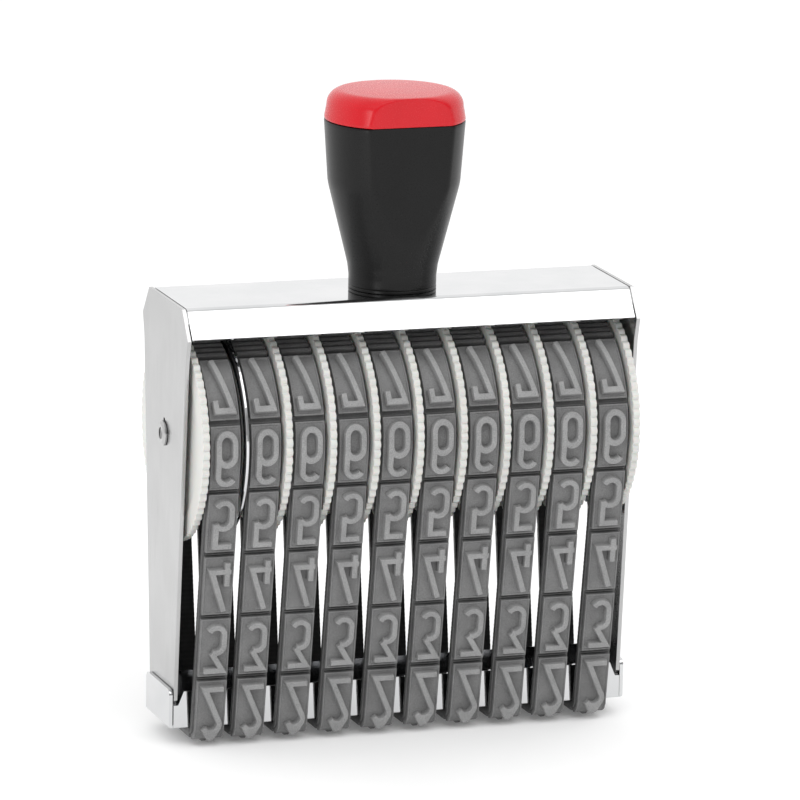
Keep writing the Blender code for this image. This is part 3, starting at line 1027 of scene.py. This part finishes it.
@dataclass
class ThumbWheels:
    """Ten white wheels, each a finely toothed rim beside a hollow drum for its band."""

    acetal: bpy.types.Material
    count: int = 10
    teeth: int = 72
    steps_per_tooth: int = 6
    tooth_depth: float = 0.7 * MM
    tooth_curve: float = 1.6
    stagger: float = 0.37
    rim_thickness: float = 2.0 * MM
    rim_edge: float = 0.35 * MM
    fillet: float = 0.3 * MM
    drum_radius: float = 24.2 * MM
    drum_wall: float = 2.2 * MM
    hub_radius: float = 5.5 * MM
    bore: float = 2.8 * MM

    def profile(self, width: float, radius: float) -> list[Point]:
        """Return the wheel's section, with its open drum at 0 and its rim at the far end.

        Args:
            width: The wheel's width along the axle.
            radius: The rim's radius.

        Returns:
            Points as (distance along the axle, radius).
        """
        flange, edge, fillet = width - self.rim_thickness, self.rim_edge, self.fillet
        return [
            (width, self.bore),
            (width, self.hub_radius),
            (width - fillet, self.hub_radius + fillet),
            (width - fillet, self.drum_radius - fillet),
            (width, self.drum_radius),
            (width, radius - edge),
            (width - edge * 0.3, radius - edge * 0.3),
            (width - edge, radius),
            (flange + edge, radius),
            (flange + edge * 0.3, radius - edge * 0.3),
            (flange, radius - edge),
            (flange, self.drum_radius + fillet),
            (flange - fillet, self.drum_radius),
            (fillet / 2, self.drum_radius),
            (0, self.drum_radius - fillet / 2),
            (0, self.drum_radius - self.drum_wall),
            (flange - fillet, self.drum_radius - self.drum_wall),
            (flange, self.drum_radius - self.drum_wall - fillet),
            (flange, self.hub_radius + fillet),
            (flange - fillet, self.hub_radius),
            (0, self.hub_radius),
            (0, self.bore),
        ]

    def cut_teeth(self, wheel: bpy.types.Object, radius: float) -> None:
        """Press the rim in between each two teeth, deepest at the middle of the valley.

        Args:
            wheel: The turned wheel, on the X axis.
            radius: The rim's radius.
        """
        step = math.tau / (self.teeth * self.steps_per_tooth)
        floor = radius - 2 * self.rim_edge
        half_pitch = self.steps_per_tooth / 2
        with editing(wheel):
            for place_in_tooth in range(self.steps_per_tooth):
                away = abs(place_in_tooth - half_pitch) / half_pitch
                depth = self.tooth_depth * away**self.tooth_curve

                def on_rim(place: Vector, wanted: int = place_in_tooth) -> bool:
                    """Say whether a vertex is on the rim and at one place of the tooth's pitch."""
                    index = round(math.atan2(place.y, place.z) / step) % self.steps_per_tooth
                    return math.hypot(place.y, place.z) > floor and index == wanted

                pick_vertices(wheel, on_rim)
                factor = (radius - depth) / radius
                bpy.ops.transform.resize(value=(1, factor, factor), center_override=(0, 0, 0))

    def build(self) -> None:
        """Model one wheel and place ten; the first faces the other way."""
        low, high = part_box("wheel_02")
        radius = (high.z - low.z) / 2
        steps = self.teeth * self.steps_per_tooth
        section = self.profile(high.x - low.x, radius)
        pattern = spin_profile("wheel_pattern", section, steps, X_AXIS)
        self.cut_teeth(pattern, radius)
        smooth(pattern, 40)
        for number in range(1, self.count + 1):
            node = f"wheel_{number:02d}"
            low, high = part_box(node)
            axle_z = (low.z + high.z) / 2
            if number == 1:
                move = Matrix.Translation((high.x, 0, axle_z)) @ Matrix.Rotation(math.pi, 4, "Z")
            else:
                move = Matrix.Translation((low.x, 0, axle_z))
            offset = Matrix.Rotation(number * math.tau / self.teeth * self.stagger, 4, "X")
            wheel = copy_of(pattern, f"{node}_toothed", move @ offset)
            hand_over(wheel, self.acetal, node, node)
        bpy.data.objects.remove(pattern)


# ---------------------------------------------------------------- number bands


class Mark(Enum):
    """What a band's tiles carry, in order up the front from the printing face; the joint is last."""

    ONE = "1"
    TWO = "2"
    THREE = "3"
    FOUR = "4"
    FIVE = "5"
    SIX = "6"
    SEVEN = "7"
    GRIP = "ribs"
    EIGHT = "8"
    NINE = "9"
    ZERO = "0"
    DASH = "-"
    STOP = "."
    SLASH = "/"
    JOINT = ""


@dataclass(frozen=True)
class BandHeights:
    """Levels above a band's inner face."""

    base: float = 1.5 * MM
    panel: float = 3.1 * MM
    top: float = 4.7 * MM


Stroke = tuple[list[Point], bool]


@dataclass(frozen=True)
class StampType:
    """Raised mirrored type: even strokes with sloping flanks, drawn on the numeral's centre lines."""

    heights: BandHeights
    half_width: float = 2.3 * MM
    half_height: float = 6.4 * MM
    stroke_top: float = 1.4 * MM
    stroke_foot: float = 2.05 * MM
    soft_edge: float = 0.1 * MM
    one_offset: float = 0.3 * MM
    flag_width: float = 2.4 * MM
    serif: float = 2.6 * MM
    bowl_top: float = 1.15 * MM
    bar_height: float = -4.5 * MM
    sunk: float = 0.4 * MM
    arc_steps: int = 8

    def bowl(self, start: float) -> list[Point]:
        """Return the open lower bowl of a numeral: round at its top and bottom, straight between.

        Args:
            start: The angle at the bowl's upper left end, in degrees.

        Returns:
            The points from there round to the lower left.
        """
        a, b = self.half_width, self.half_height
        upper = arc((0, self.bowl_top - a), a, start, 0, self.arc_steps)
        return upper + arc((0, a - b), a, 0, -150, 2 * self.arc_steps)

    def loop(self, low: float, high: float, half_width: float) -> list[Point]:
        """Return an upright loop with round ends.

        Args:
            low: Its lowest height.
            high: Its highest height.
            half_width: Half of its width.

        Returns:
            The points all the way round.
        """
        steps = 2 * self.arc_steps
        top = arc((0, high - half_width), half_width, 0, 180, steps)
        return top + arc((0, low + half_width), half_width, 180, 360, steps)

    def numeral_strokes(self) -> dict[Mark, list[Stroke]]:
        """Return each numeral's strokes, upright and unmirrored."""
        a, b, half = self.half_width, self.half_height, self.stroke_top / 2
        one, bar, middle, serif = self.one_offset, self.bar_height, self.bowl_top, self.serif
        hook = arc((0, b - a), a, 150, -35, 2 * self.arc_steps)
        six_hook = arc((0, b - a), a, 180, 30, 2 * self.arc_steps)
        nine_hook = arc((0, a - b), a, 0, -150, 2 * self.arc_steps)
        return {
            Mark.ONE: [
                ([(one, -b - half), (one, b + half)], False),
                ([(one, b - half), (one - self.flag_width, b - serif)], False),
            ],
            Mark.TWO: [([*hook, (-a * 0.95, -b), (a + half, -b)], False)],
            Mark.THREE: [
                ([(-a - half, b), (a * 0.95, b), (-0.42 * a, middle)], False),
                (self.bowl(112), False),
            ],
            Mark.FOUR: [
                ([(0.65 * a, b + half), (-a, bar), (a + 1.1 * half, bar)], False),
                ([(0.85 * a, -b - half), (0.85 * a, -0.3 * MM)], False),
            ],
            Mark.FIVE: [
                ([(a + 0.4 * half, b), (-0.87 * a, b), (-0.87 * a, -0.2 * MM)], False),
                (self.bowl(150), False),
            ],
            Mark.SIX: [(self.loop(-b, middle, a), True), ([(-a, -0.4 * b), *six_hook], False)],
            Mark.SEVEN: [
                ([(-a - 0.3 * half, b - serif), (-a, b), (a * 0.97, b), (-0.65 * a, -b - half)], False)
            ],
            Mark.EIGHT: [(self.loop(-b, 0.1 * b, a), True), (self.loop(0.1 * b, b, 0.88 * a), True)],
            Mark.NINE: [(self.loop(-middle, b, a), True), ([(a, 0.4 * b), *nine_hook], False)],
            Mark.ZERO: [(self.loop(-b, b, a), True)],
        }

    def sign_strokes(self) -> dict[Mark, list[Stroke]]:
        """Return the strokes of each mark that isn't a numeral."""
        a, b, half = self.half_width, self.half_height, self.stroke_top / 2
        return {
            Mark.DASH: [([(-a, 0), (a, 0)], False)],
            Mark.STOP: [([(0, -b - half), (0, -b + half)], False)],
            Mark.SLASH: [([(-a, -b - half), (a, b + half)], False)],
            Mark.GRIP: [],
            Mark.JOINT: [],
        }

    def ribbon(self, points: list[Point], closed: bool) -> bpy.types.Object:
        """Raise one stroke from a chain of edges: a wall that is thickened, less at its top.

        Args:
            points: The stroke's centre line, upright and unmirrored.
            closed: Whether the stroke is a loop.

        Returns:
            The stroke on the flat band, with the band's length along X and its outside up Y.
        """
        foot = self.heights.panel - self.sunk
        places = [(-y, foot, x) for x, y in self.without_repeats(points, closed)]
        stroke = draw_chain("stroke", places, closed)
        rise = self.heights.top - foot
        with editing(stroke, "EDGE"):
            bpy.ops.mesh.select_all(action="SELECT")
            bpy.ops.mesh.extrude_region_move(TRANSFORM_OT_translate={"value": (0, rise, 0)})
            bpy.ops.mesh.select_all(action="SELECT")
            bpy.ops.mesh.normals_make_consistent(inside=False)
        group = stroke.vertex_groups.new(name="thickness")
        for vertex in stroke.data.vertices:
            share = 1.0 if vertex.co.y < foot + rise / 2 else self.stroke_top / self.stroke_foot
            group.add([vertex.index], share, "REPLACE")
        modify(
            stroke,
            "SOLIDIFY",
            thickness=self.stroke_foot,
            offset=0,
            use_even_offset=True,
            vertex_group=group.name,
        )
        stroke.vertex_groups.clear()
        tidy_normals(stroke)
        break_edges(stroke, self.soft_edge, steps=1, angle=50)
        return stroke

    @staticmethod
    def without_repeats(points: list[Point], closed: bool) -> list[Point]:
        """Drop points that fall on the one before, and a loop's last point if it is its first.

        Args:
            points: The points in order.
            closed: Whether they go round a loop.

        Returns:
            The points that are left.
        """
        kept = [points[0]]
        for point in points[1:]:
            if math.dist(point, kept[-1]) > 10 * MERGE_DISTANCE:
                kept.append(point)
        if closed and math.dist(kept[0], kept[-1]) <= 10 * MERGE_DISTANCE:
            kept.pop()
        return kept


@dataclass
class NumberBands:
    """Ten endless rubber bands, moulded flat in a row of tiles and then wrapped round their path."""

    LEVEL = "level"

    rubber: bpy.types.Material
    heights: BandHeights
    count: int = 10
    pitch: float = 18.35 * MM
    print_offset: float = 1.1 * MM
    base_half_width: float = 4.725 * MM
    panel_half_width: float = 4.2 * MM
    groove: float = 1.4 * MM
    ridge: float = 0.35 * MM
    dish: float = 0.16 * MM
    dish_border: float = 0.42 * MM
    soft_edge: float = 0.12 * MM
    grip_ribs: int = 9
    rib_depth: float = 0.14 * MM
    slice_length: float = 0.65 * MM
    gap: float = 0.3 * MM
    drum_radius: float = 24.2 * MM
    channel_bend: float = 0.3 * MM
    path_points: int = 1500
    marks: tuple[Mark, ...] = tuple(Mark)
    axle_z: float = field(init=False)
    wrap_radius: float = field(init=False)
    bend_radius: float = field(init=False)
    bend_y: float = field(init=False)
    bend_z: float = field(init=False)
    neutral: float = field(init=False)
    tilt: float = field(init=False)
    bend_end: float = field(init=False)
    wrap_start: float = field(init=False)
    half_length: float = field(init=False)

    def __post_init__(self) -> None:
        """Work out the band's path from the wheel, the channel and the gap to each."""
        axle = Vector(frame["joints"][0]["pos_m"])
        channel_low, channel_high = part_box("base_channel")
        self.axle_z = axle.z
        self.wrap_radius = self.drum_radius + self.gap
        self.bend_radius = self.channel_bend + self.gap
        self.bend_y = channel_high.y - self.channel_bend
        self.bend_z = channel_low.z + self.channel_bend
        self.neutral = self.heights.base / 2
        drop = self.axle_z - self.bend_z
        distance = math.hypot(self.bend_y, drop)
        extra = self.wrap_radius - self.bend_radius
        self.tilt = math.asin(extra / distance) - math.atan2(self.bend_y, drop)
        self.bend_end = self.bend_y + (self.bend_radius + self.neutral) * (math.pi / 2 - self.tilt)
        self.wrap_start = self.bend_end + math.sqrt(distance**2 - extra**2)
        self.half_length = self.wrap_start + (self.wrap_radius + self.neutral) * (math.pi / 2 + self.tilt)

    def path_point(self, length: float) -> tuple[float, float]:
        """Return a point of the band's neutral line.

        Args:
            length: The way along it, from the middle of the printing face up the front.

        Returns:
            Y and Z.
        """
        wrapped = (length + self.half_length) % (2 * self.half_length) - self.half_length
        way = abs(wrapped)
        bend, wrap = self.bend_radius + self.neutral, self.wrap_radius + self.neutral
        if way <= self.bend_y:
            y, z = way, self.bend_z - bend
        elif way <= self.bend_end:
            turn = (way - self.bend_y) / bend
            y, z = self.bend_y + bend * math.sin(turn), self.bend_z - bend * math.cos(turn)
        elif way <= self.wrap_start:
            along = way - self.bend_end
            y = self.bend_y + bend * math.cos(self.tilt) + along * math.sin(self.tilt)
            z = self.bend_z - bend * math.sin(self.tilt) + along * math.cos(self.tilt)
        else:
            turn = (way - self.wrap_start) / wrap - self.tilt
            y, z = wrap * math.cos(turn), self.axle_z + wrap * math.sin(turn)
        return -math.copysign(y, wrapped), z

    def path(self) -> bpy.types.Object:
        """Draw the path as a flat closed curve, whose X is the stamp's Y and whose Y is its Z."""
        curve = bpy.data.curves.new("band_path", "CURVE")
        curve.dimensions = "2D"
        line = curve.splines.new("POLY")
        line.points.add(self.path_points - 1)
        for index, point in enumerate(line.points):
            y, z = self.path_point(2 * self.half_length * index / self.path_points)
            point.co = (y, z, 0, 1)
        line.use_cyclic_u = True
        route = bpy.data.objects.new("band_path", curve)
        bpy.context.scene.collection.objects.link(route)
        return route

    def tile(
        self, mark: Mark, length: float, strokes: list[Stroke], type_maker: StampType
    ) -> bpy.types.Object:
        """Model one tile of the flat band: base, raised panel and the mark's type.

        Args:
            mark: What the tile carries.
            length: Its length along the band.
            strokes: The mark's strokes.
            type_maker: The type's shape.

        Returns:
            The tile about the origin, sliced across so that it can bend.
        """
        half, base, panel = length / 2, self.heights.base, self.heights.panel
        body = block("tile", (-half, 0, -self.base_half_width), (half, base, self.base_half_width))
        with editing(body, "EDGE"):
            pick_edges(body, lambda a, b: min(a.y, b.y) > base / 2 and abs(a.z - b.z) < MERGE_DISTANCE)
            bpy.ops.mesh.bevel(offset=2 * self.soft_edge, segments=2, affect="EDGES")
        if mark is Mark.GRIP:
            self.add_grip_ribs(body, half - self.groove / 2)
        else:
            fuse(body, self.panel(half - self.groove / 2, panel))
        ridge_low = Vector((half - self.groove / 4 - self.ridge / 2, base / 2, -self.panel_half_width))
        ridge_high = Vector((ridge_low.x + self.ridge, base + self.ridge, self.panel_half_width))
        fuse(body, block("ridge", ridge_low, ridge_high))
        for points, closed in strokes:
            fuse(body, type_maker.ribbon(points, closed))
        tidy_normals(body)
        self.slice_across(body, half)
        return body

    def add_grip_ribs(self, body: bpy.types.Object, half: float) -> None:
        """Raise even ribs across a tile that prints nothing, for a finger to push the band by.

        Args:
            body: The tile's base.
            half: Half of the length that the ribs fill.
        """
        step = 2 * half / (self.grip_ribs - 1 / 2)
        width, top = self.panel_half_width, self.heights.panel
        for index in range(self.grip_ribs):
            x = index * step - half
            rib = block("grip_rib", (x, self.heights.base / 2, -width), (x + step / 2, top, width))
            fuse(body, rib)

    def panel(self, half: float, height: float) -> bpy.types.Object:
        """Model a tile's raised panel, with soft edges and a slightly dished floor.

        Args:
            half: Half of its length.
            height: The height of its top.

        Returns:
            The panel.
        """
        width = self.panel_half_width
        raised = block("panel", (-half, self.heights.base / 2, -width), (half, height, width))
        with editing(raised, "FACE"):
            pick_faces(raised, lambda centre, normal: normal.y > 0.9)
            bpy.ops.mesh.inset(thickness=self.dish_border, depth=0)
            bpy.ops.mesh.inset(thickness=self.dish, depth=-self.dish)
        break_edges(raised, self.soft_edge, angle=60)
        return raised

    def slice_across(self, body: bpy.types.Object, half: float) -> None:
        """Cut a tile across at even steps, and ease every second cut of its inner face into a rib.

        Args:
            body: The tile.
            half: Half of its length.
        """
        slices = 2 * round(half / self.slice_length)
        step = 2 * half / slices
        with editing(body):
            for index in range(1, slices):
                bpy.ops.mesh.select_all(action="SELECT")
                x = -half + index * step
                bpy.ops.mesh.bisect(plane_co=(x, 0, 0), plane_no=(1, 0, 0), threshold=MERGE_DISTANCE)
            pick_faces(body, lambda centre, normal: abs(abs(centre.x) - half) < MERGE_DISTANCE)
            bpy.ops.mesh.delete(type="FACE")
            bpy.ops.mesh.select_mode(type="VERT")

            def on_rib(place: Vector) -> bool:
                """Say whether a vertex is on the inner face at an odd cut."""
                return place.y < MERGE_DISTANCE and round((place.x + half) / step) % 2 == 1

            pick_vertices(body, on_rib)
            bpy.ops.transform.translate(value=(0, self.rib_depth, 0))

    def flat_band(self) -> bpy.types.Object:
        """Join the tiles in a row along X, with the middle of the printing face at 0."""
        type_maker = StampType(self.heights)
        strokes = type_maker.numeral_strokes() | type_maker.sign_strokes()
        start = self.print_offset - self.pitch / 2
        joint_length = 2 * self.half_length - (len(self.marks) - 1) * self.pitch
        tiles = []
        for mark in self.marks:
            length = joint_length if mark is Mark.JOINT else self.pitch
            tile = self.tile(mark, length, strokes[mark], type_maker)
            tile.data.transform(Matrix.Translation((start + length / 2, 0, 0)))
            tiles.append(tile)
            start += length
        take(tiles[0])
        for tile in tiles:
            tile.select_set(True)
        bpy.ops.object.join()
        band = named("flat_band")
        with editing(band):
            bpy.ops.mesh.select_all(action="SELECT")
            bpy.ops.mesh.remove_doubles(threshold=MERGE_DISTANCE)
        return band

    def keep_levels(self, band: bpy.types.Object) -> None:
        """Write each vertex's height above the inner face as an attribute, for the rubber's painted light and
        shade.
        """
        levels = band.data.attributes.new(self.LEVEL, "FLOAT", "POINT")
        for vertex, level in zip(band.data.vertices, levels.data):
            level.value = vertex.co.y

    def build(self) -> None:
        """Mould one flat band, wrap it and copy it to each wheel."""
        band = self.flat_band()
        self.keep_levels(band)
        with editing(band):
            bpy.ops.mesh.select_all(action="SELECT")
            bpy.ops.transform.translate(value=(0, -self.neutral, 0))
        route = self.path()
        self.shift_start(band)
        modify(band, "CURVE", object=route, deform_axis="POS_X")
        bpy.data.objects.remove(route)
        curve_to_stamp = Matrix(((0, 0, 1, 0), (1, 0, 0, 0), (0, 1, 0, 0), (0, 0, 0, 1)))
        band.data.transform(curve_to_stamp)
        tidy_normals(band)
        smooth(band, 32)
        for number in range(1, self.count + 1):
            node = f"band_{number:02d}"
            low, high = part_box(node)
            piece = copy_of(band, f"{node}_rubber", Matrix.Translation(((low.x + high.x) / 2, 0, 0)))
            hand_over(piece, self.rubber, ROOT, node)
        bpy.data.objects.remove(band)

    def shift_start(self, band: bpy.types.Object) -> None:
        """Move what lies before the start to the band's far end, so that its length runs from 0."""
        length = 2 * self.half_length
        with editing(band):
            bpy.ops.mesh.select_all(action="SELECT")
            bpy.ops.mesh.bisect(plane_co=(0, 0, 0), plane_no=(1, 0, 0), threshold=MERGE_DISTANCE)
            pick_faces(band, lambda centre, normal: centre.x < 0)
            bpy.ops.mesh.split()
            bpy.ops.transform.translate(value=(length, 0, 0))


# ---------------------------------------------------------------- handle


@dataclass
class Handle:
    """The waisted grip with its cap and collar; a flat facet runs down the front and the back."""

    black: bpy.types.Material
    red: bpy.types.Material
    turn_steps: int = 256
    ring_spacing: float = 0.7 * MM
    neck_radius: float = 12.1 * MM
    neck_rise: float = 5.2 * MM
    shoulder_radius: float = 18.2 * MM
    shoulder_rise: float = 29.5 * MM
    top_radius: float = 19.4 * MM
    cap_edge: float = 4.2 * MM
    cap_lean: float = 0.6 * MM
    facet_half_depth: float = 15.2 * MM
    facet_tilt: float = 1.9
    facet_softness: float = 0.5 * MM
    edge_round: float = 0.35 * MM
    seat_gap: float = 0.18 * MM
    profile_ease: float = 1.6 * MM
    crown: float = 0.25 * MM
    collar_round: float = 0.2 * MM
    cap_clearance: float = 0.2 * MM
    bore: float = 2.3 * MM
    socket_radius: float = 12.2 * MM
    spigot_radius: float = 12.0 * MM
    spigot_depth: float = 3.0 * MM

    def rings(self, corners: list[Point]) -> list[Point]:
        """Add points between the corners of a profile, so that its faces are small enough to shape.

        Args:
            corners: Points as (height, radius).

        Returns:
            The corners with even steps between them.
        """
        points = [corners[0]]
        for here, there in pairwise(corners):
            steps = max(1, round(math.dist(here, there) / self.ring_spacing))
            for index in range(1, steps + 1):
                share = index / steps
                points.append(tuple(a + (b - a) * share for a, b in zip(here, there)))
        return points

    def flatten(self, piece: bpy.types.Object, seam: float) -> None:
        """Press the front and back flat, with a soft edge where the facet meets the round.

        Args:
            piece: The turned piece.
            seam: The height of the seam between grip and cap.
        """
        lean = math.tan(math.radians(self.facet_tilt))
        for vertex in piece.data.vertices:
            limit = self.facet_half_depth + (vertex.co.z - seam) * lean
            depth = abs(vertex.co.y)
            ease = max(self.facet_softness - abs(depth - limit), 0) / self.facet_softness
            pressed = min(depth, limit) - ease * ease * self.facet_softness / 4
            vertex.co.y = math.copysign(pressed, vertex.co.y)

    def grip(self) -> None:
        """Turn the black grip: neck, cone and near-straight top with a socket for the cap."""
        low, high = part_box("handle_body")
        housing_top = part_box("top_housing")[1].z
        cap_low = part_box("handle_cap")[0]
        r = self.edge_round
        bottom = low.z - self.seat_gap
        shoulder = housing_top + self.shoulder_rise
        cone = (self.shoulder_radius - self.neck_radius) / (self.shoulder_rise - self.neck_rise)
        wall = (self.top_radius - self.shoulder_radius) / (high.z - shoulder)
        ease = self.profile_ease
        outside = [
            (bottom, self.bore),
            (bottom, self.neck_radius - r),
            *[(bottom + r + h, self.neck_radius - r + d) for d, h in arc((0, 0), r, -60, 0, 3)],
            (housing_top + self.neck_rise - ease, self.neck_radius),
            (housing_top + self.neck_rise + ease, self.neck_radius + ease * cone),
            (shoulder - ease, self.shoulder_radius - ease * cone),
            (shoulder - ease / 3, self.shoulder_radius - ease / 3 * (cone * 0.8 + wall * 0.2) - 0.04 * MM),
            (shoulder + ease / 3, self.shoulder_radius + ease / 3 * (cone * 0.2 + wall * 0.8) - 0.04 * MM),
            (shoulder + ease, self.shoulder_radius + ease * wall),
            (high.z - r, self.top_radius),
            *[(high.z - r + h, self.top_radius - r + d) for d, h in arc((0, 0), r, 30, 90, 3)],
            (high.z, self.socket_radius),
        ]
        floor = cap_low.z - self.cap_clearance
        inside = [(floor, self.socket_radius), (floor, self.bore)]
        profile = self.rings(outside) + inside
        piece = spin_profile("handle_grip", profile, self.turn_steps, Z_AXIS)
        self.flatten(piece, high.z)
        smooth(piece, 40)
        hand_over(piece, self.black, ROOT, "handle_body")

    def cap(self) -> None:
        """Turn the red cap: straight at the seam, then rounded over to a gently domed top."""
        low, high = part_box("handle_cap")
        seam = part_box("handle_body")[1].z
        base = low.z + self.spigot_depth + self.cap_clearance
        r = self.edge_round
        shoulder = self.top_radius - self.cap_lean
        crown = self.crown
        edge = [
            (high.z - crown - self.cap_edge + h, shoulder - self.cap_edge + d)
            for d, h in arc((0, 0), self.cap_edge, 0, 84, 12)
        ]
        corners = [
            (low.z, 0),
            (low.z, self.spigot_radius),
            (base, self.spigot_radius),
            (base, self.top_radius - r),
            (base + r / 3, self.top_radius - r / 4),
            (base + r, self.top_radius),
            *edge,
            (high.z - crown / 3, (shoulder - self.cap_edge) * 0.6),
            (high.z, 0),
        ]
        profile = corners[:2] + self.rings(corners[2:])
        piece = spin_profile("handle_cap_moulded", profile, self.turn_steps, Z_AXIS, closed=False)
        self.flatten(piece, seam)
        smooth(piece, 40)
        hand_over(piece, self.red, ROOT, "handle_cap")

    def collar(self) -> None:
        """Turn the thin collar between grip and housing."""
        low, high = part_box("handle_collar")
        radius, r = high.x, self.collar_round
        bottom = low.z - self.seat_gap
        profile = [
            (bottom, self.bore),
            (bottom, radius - r),
            (bottom + r, radius),
            (high.z - r, radius),
            (high.z, radius - r),
            (high.z, self.bore),
        ]
        piece = spin_profile("handle_collar_ring", profile, self.turn_steps, Z_AXIS)
        smooth(piece)
        hand_over(piece, self.black, ROOT, "handle_collar")

    def build(self) -> None:
        """Make the handle's three mouldings."""
        self.collar()
        self.grip()
        self.cap()


# ---------------------------------------------------------------- studio


@dataclass
class Studio:
    """A white table with soft light, and the camera."""

    yaw: float = -18.53
    elevation: float = 12.51
    roll: float = 0.93
    distance: float = 1.9311
    target: Vector = field(default_factory=lambda: Vector((0, 0, 0.0894)))
    lens: float = 315.0
    sensor: float = 36.0
    shift: tuple[float, float] = (0.0123, 0.0081)
    floor_size: float = 12.0
    floor_glow: float = 0.12
    front_strength: float = 0.35
    back_strength: float = 1.12
    ceiling_strength: float = 0.9

    def camera(self) -> None:
        """Place the camera: a long lens, a little to the left of the stamp and above it."""
        yaw, pitch, roll = (math.radians(v) for v in (self.yaw, self.elevation, self.roll))
        right = Vector((math.cos(yaw), math.sin(yaw), 0))
        back = Vector((math.sin(yaw) * math.cos(pitch), -math.cos(yaw) * math.cos(pitch), math.sin(pitch)))
        up = back.cross(right)
        x_axis = math.cos(roll) * right + math.sin(roll) * up
        y_axis = -math.sin(roll) * right + math.cos(roll) * up
        data = bpy.data.cameras.new("camera")
        data.lens, data.sensor_width = self.lens, self.sensor
        data.shift_x, data.shift_y = self.shift
        data.clip_end = 50
        camera = bpy.data.objects.new("camera", data)
        turn = Matrix((x_axis, y_axis, back)).transposed().to_4x4()
        camera.matrix_world = Matrix.Translation(self.target + back * self.distance) @ turn
        bpy.context.scene.collection.objects.link(camera)
        bpy.context.scene.camera = camera

    def floor(self) -> None:
        """Lay the plain white floor."""
        clear_selection()
        bpy.ops.mesh.primitive_plane_add(size=self.floor_size)
        floor = named("floor")
        material, tree, shader = start_material("white_table_laminate")
        colour = blend(tree, span(tree, grain(tree, 60 * MM), 0, 1), "F4F4F4", "F6F6F6")
        tree.links.new(colour, shader.inputs["Base Color"])
        shader.inputs["Roughness"].default_value = 0.75
        shader.inputs["Specular IOR Level"].default_value = 0.2
        shader.inputs["Emission Color"].default_value = linear("FFFFFF")
        shader.inputs["Emission Strength"].default_value = self.floor_glow
        floor.data.materials.append(material)

    def world(self) -> None:
        """Surround the stamp with white: bright behind and overhead, dimmer in front as in a photo tent."""
        world = bpy.data.worlds.new("white_room")
        world.use_nodes = True
        tree = world.node_tree
        way = add_node(tree, "ShaderNodeTexCoord")
        split = add_node(tree, "ShaderNodeSeparateXYZ", {"Vector": way.outputs["Generated"]})
        walls = span(tree, split.outputs["Y"], self.front_strength, self.back_strength, -0.5, 0.3)
        ceiling = span(tree, split.outputs["Z"], 0, self.ceiling_strength, 0.25, 0.65)
        both = {"Value": walls, "Value_001": ceiling}
        brighter = add_node(tree, "ShaderNodeMath", both, operation="MAXIMUM")
        background = tree.nodes["Background"]
        background.inputs["Color"].default_value = linear("FFFFFF")
        tree.links.new(brighter.outputs["Value"], background.inputs["Strength"])
        bpy.context.scene.world = world

    def lamp(self, name: str, place: Vector, size: Point, power: float, mirrored: bool) -> None:
        """Hang a rectangular softbox that faces the stamp.

        Args:
            name: The lamp's name.
            place: The middle of its face.
            size: Its width and height.
            power: Its power in watts.
            mirrored: Whether shiny surfaces show it.
        """
        data = bpy.data.lights.new(name, "AREA")
        data.shape = "RECTANGLE"
        data.size, data.size_y = size
        data.energy = power
        lamp = bpy.data.objects.new(name, data)
        lamp.visible_glossy = mirrored
        aim = (Vector(place) - self.target).to_track_quat("Z", "Y").to_matrix().to_4x4()
        lamp.matrix_world = Matrix.Translation(place) @ aim
        bpy.context.scene.collection.objects.link(lamp)

    def build(self) -> None:
        """Set the floor, the light and the camera."""
        bpy.context.scene.view_settings.view_transform = "Standard"
        self.world()
        self.floor()
        self.lamp("key_softbox", Vector((-0.9, -1.1, 1.5)), (1.2, 1.2), 6, mirrored=False)
        self.lamp("flange_softbox", Vector((0.53, -0.89, 1.42)), (1.5, 1.1), 7.5, mirrored=True)
        self.lamp("strip_softbox", Vector((-0.95, -0.62, 0.28)), (0.3, 0.55), 2, mirrored=True)
        self.camera()


# ---------------------------------------------------------------- whole stamp


def main() -> None:
    """Build the stamp in order and report each piece."""
    logging.basicConfig(level=logging.INFO, format="%(message)s")
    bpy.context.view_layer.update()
    heights = BandHeights()
    nickel, chrome = NICKEL.make(), CHROME.make()
    Studio().build()
    SheetSteelFrame(nickel, chrome).build()
    ThumbWheels(ACETAL.make()).build()
    NumberBands(BandRubber().make(heights), heights).build()
    Handle(BLACK_ABS.make(), RED_ABS.make()).build()


if __name__ == "__main__":
    main()
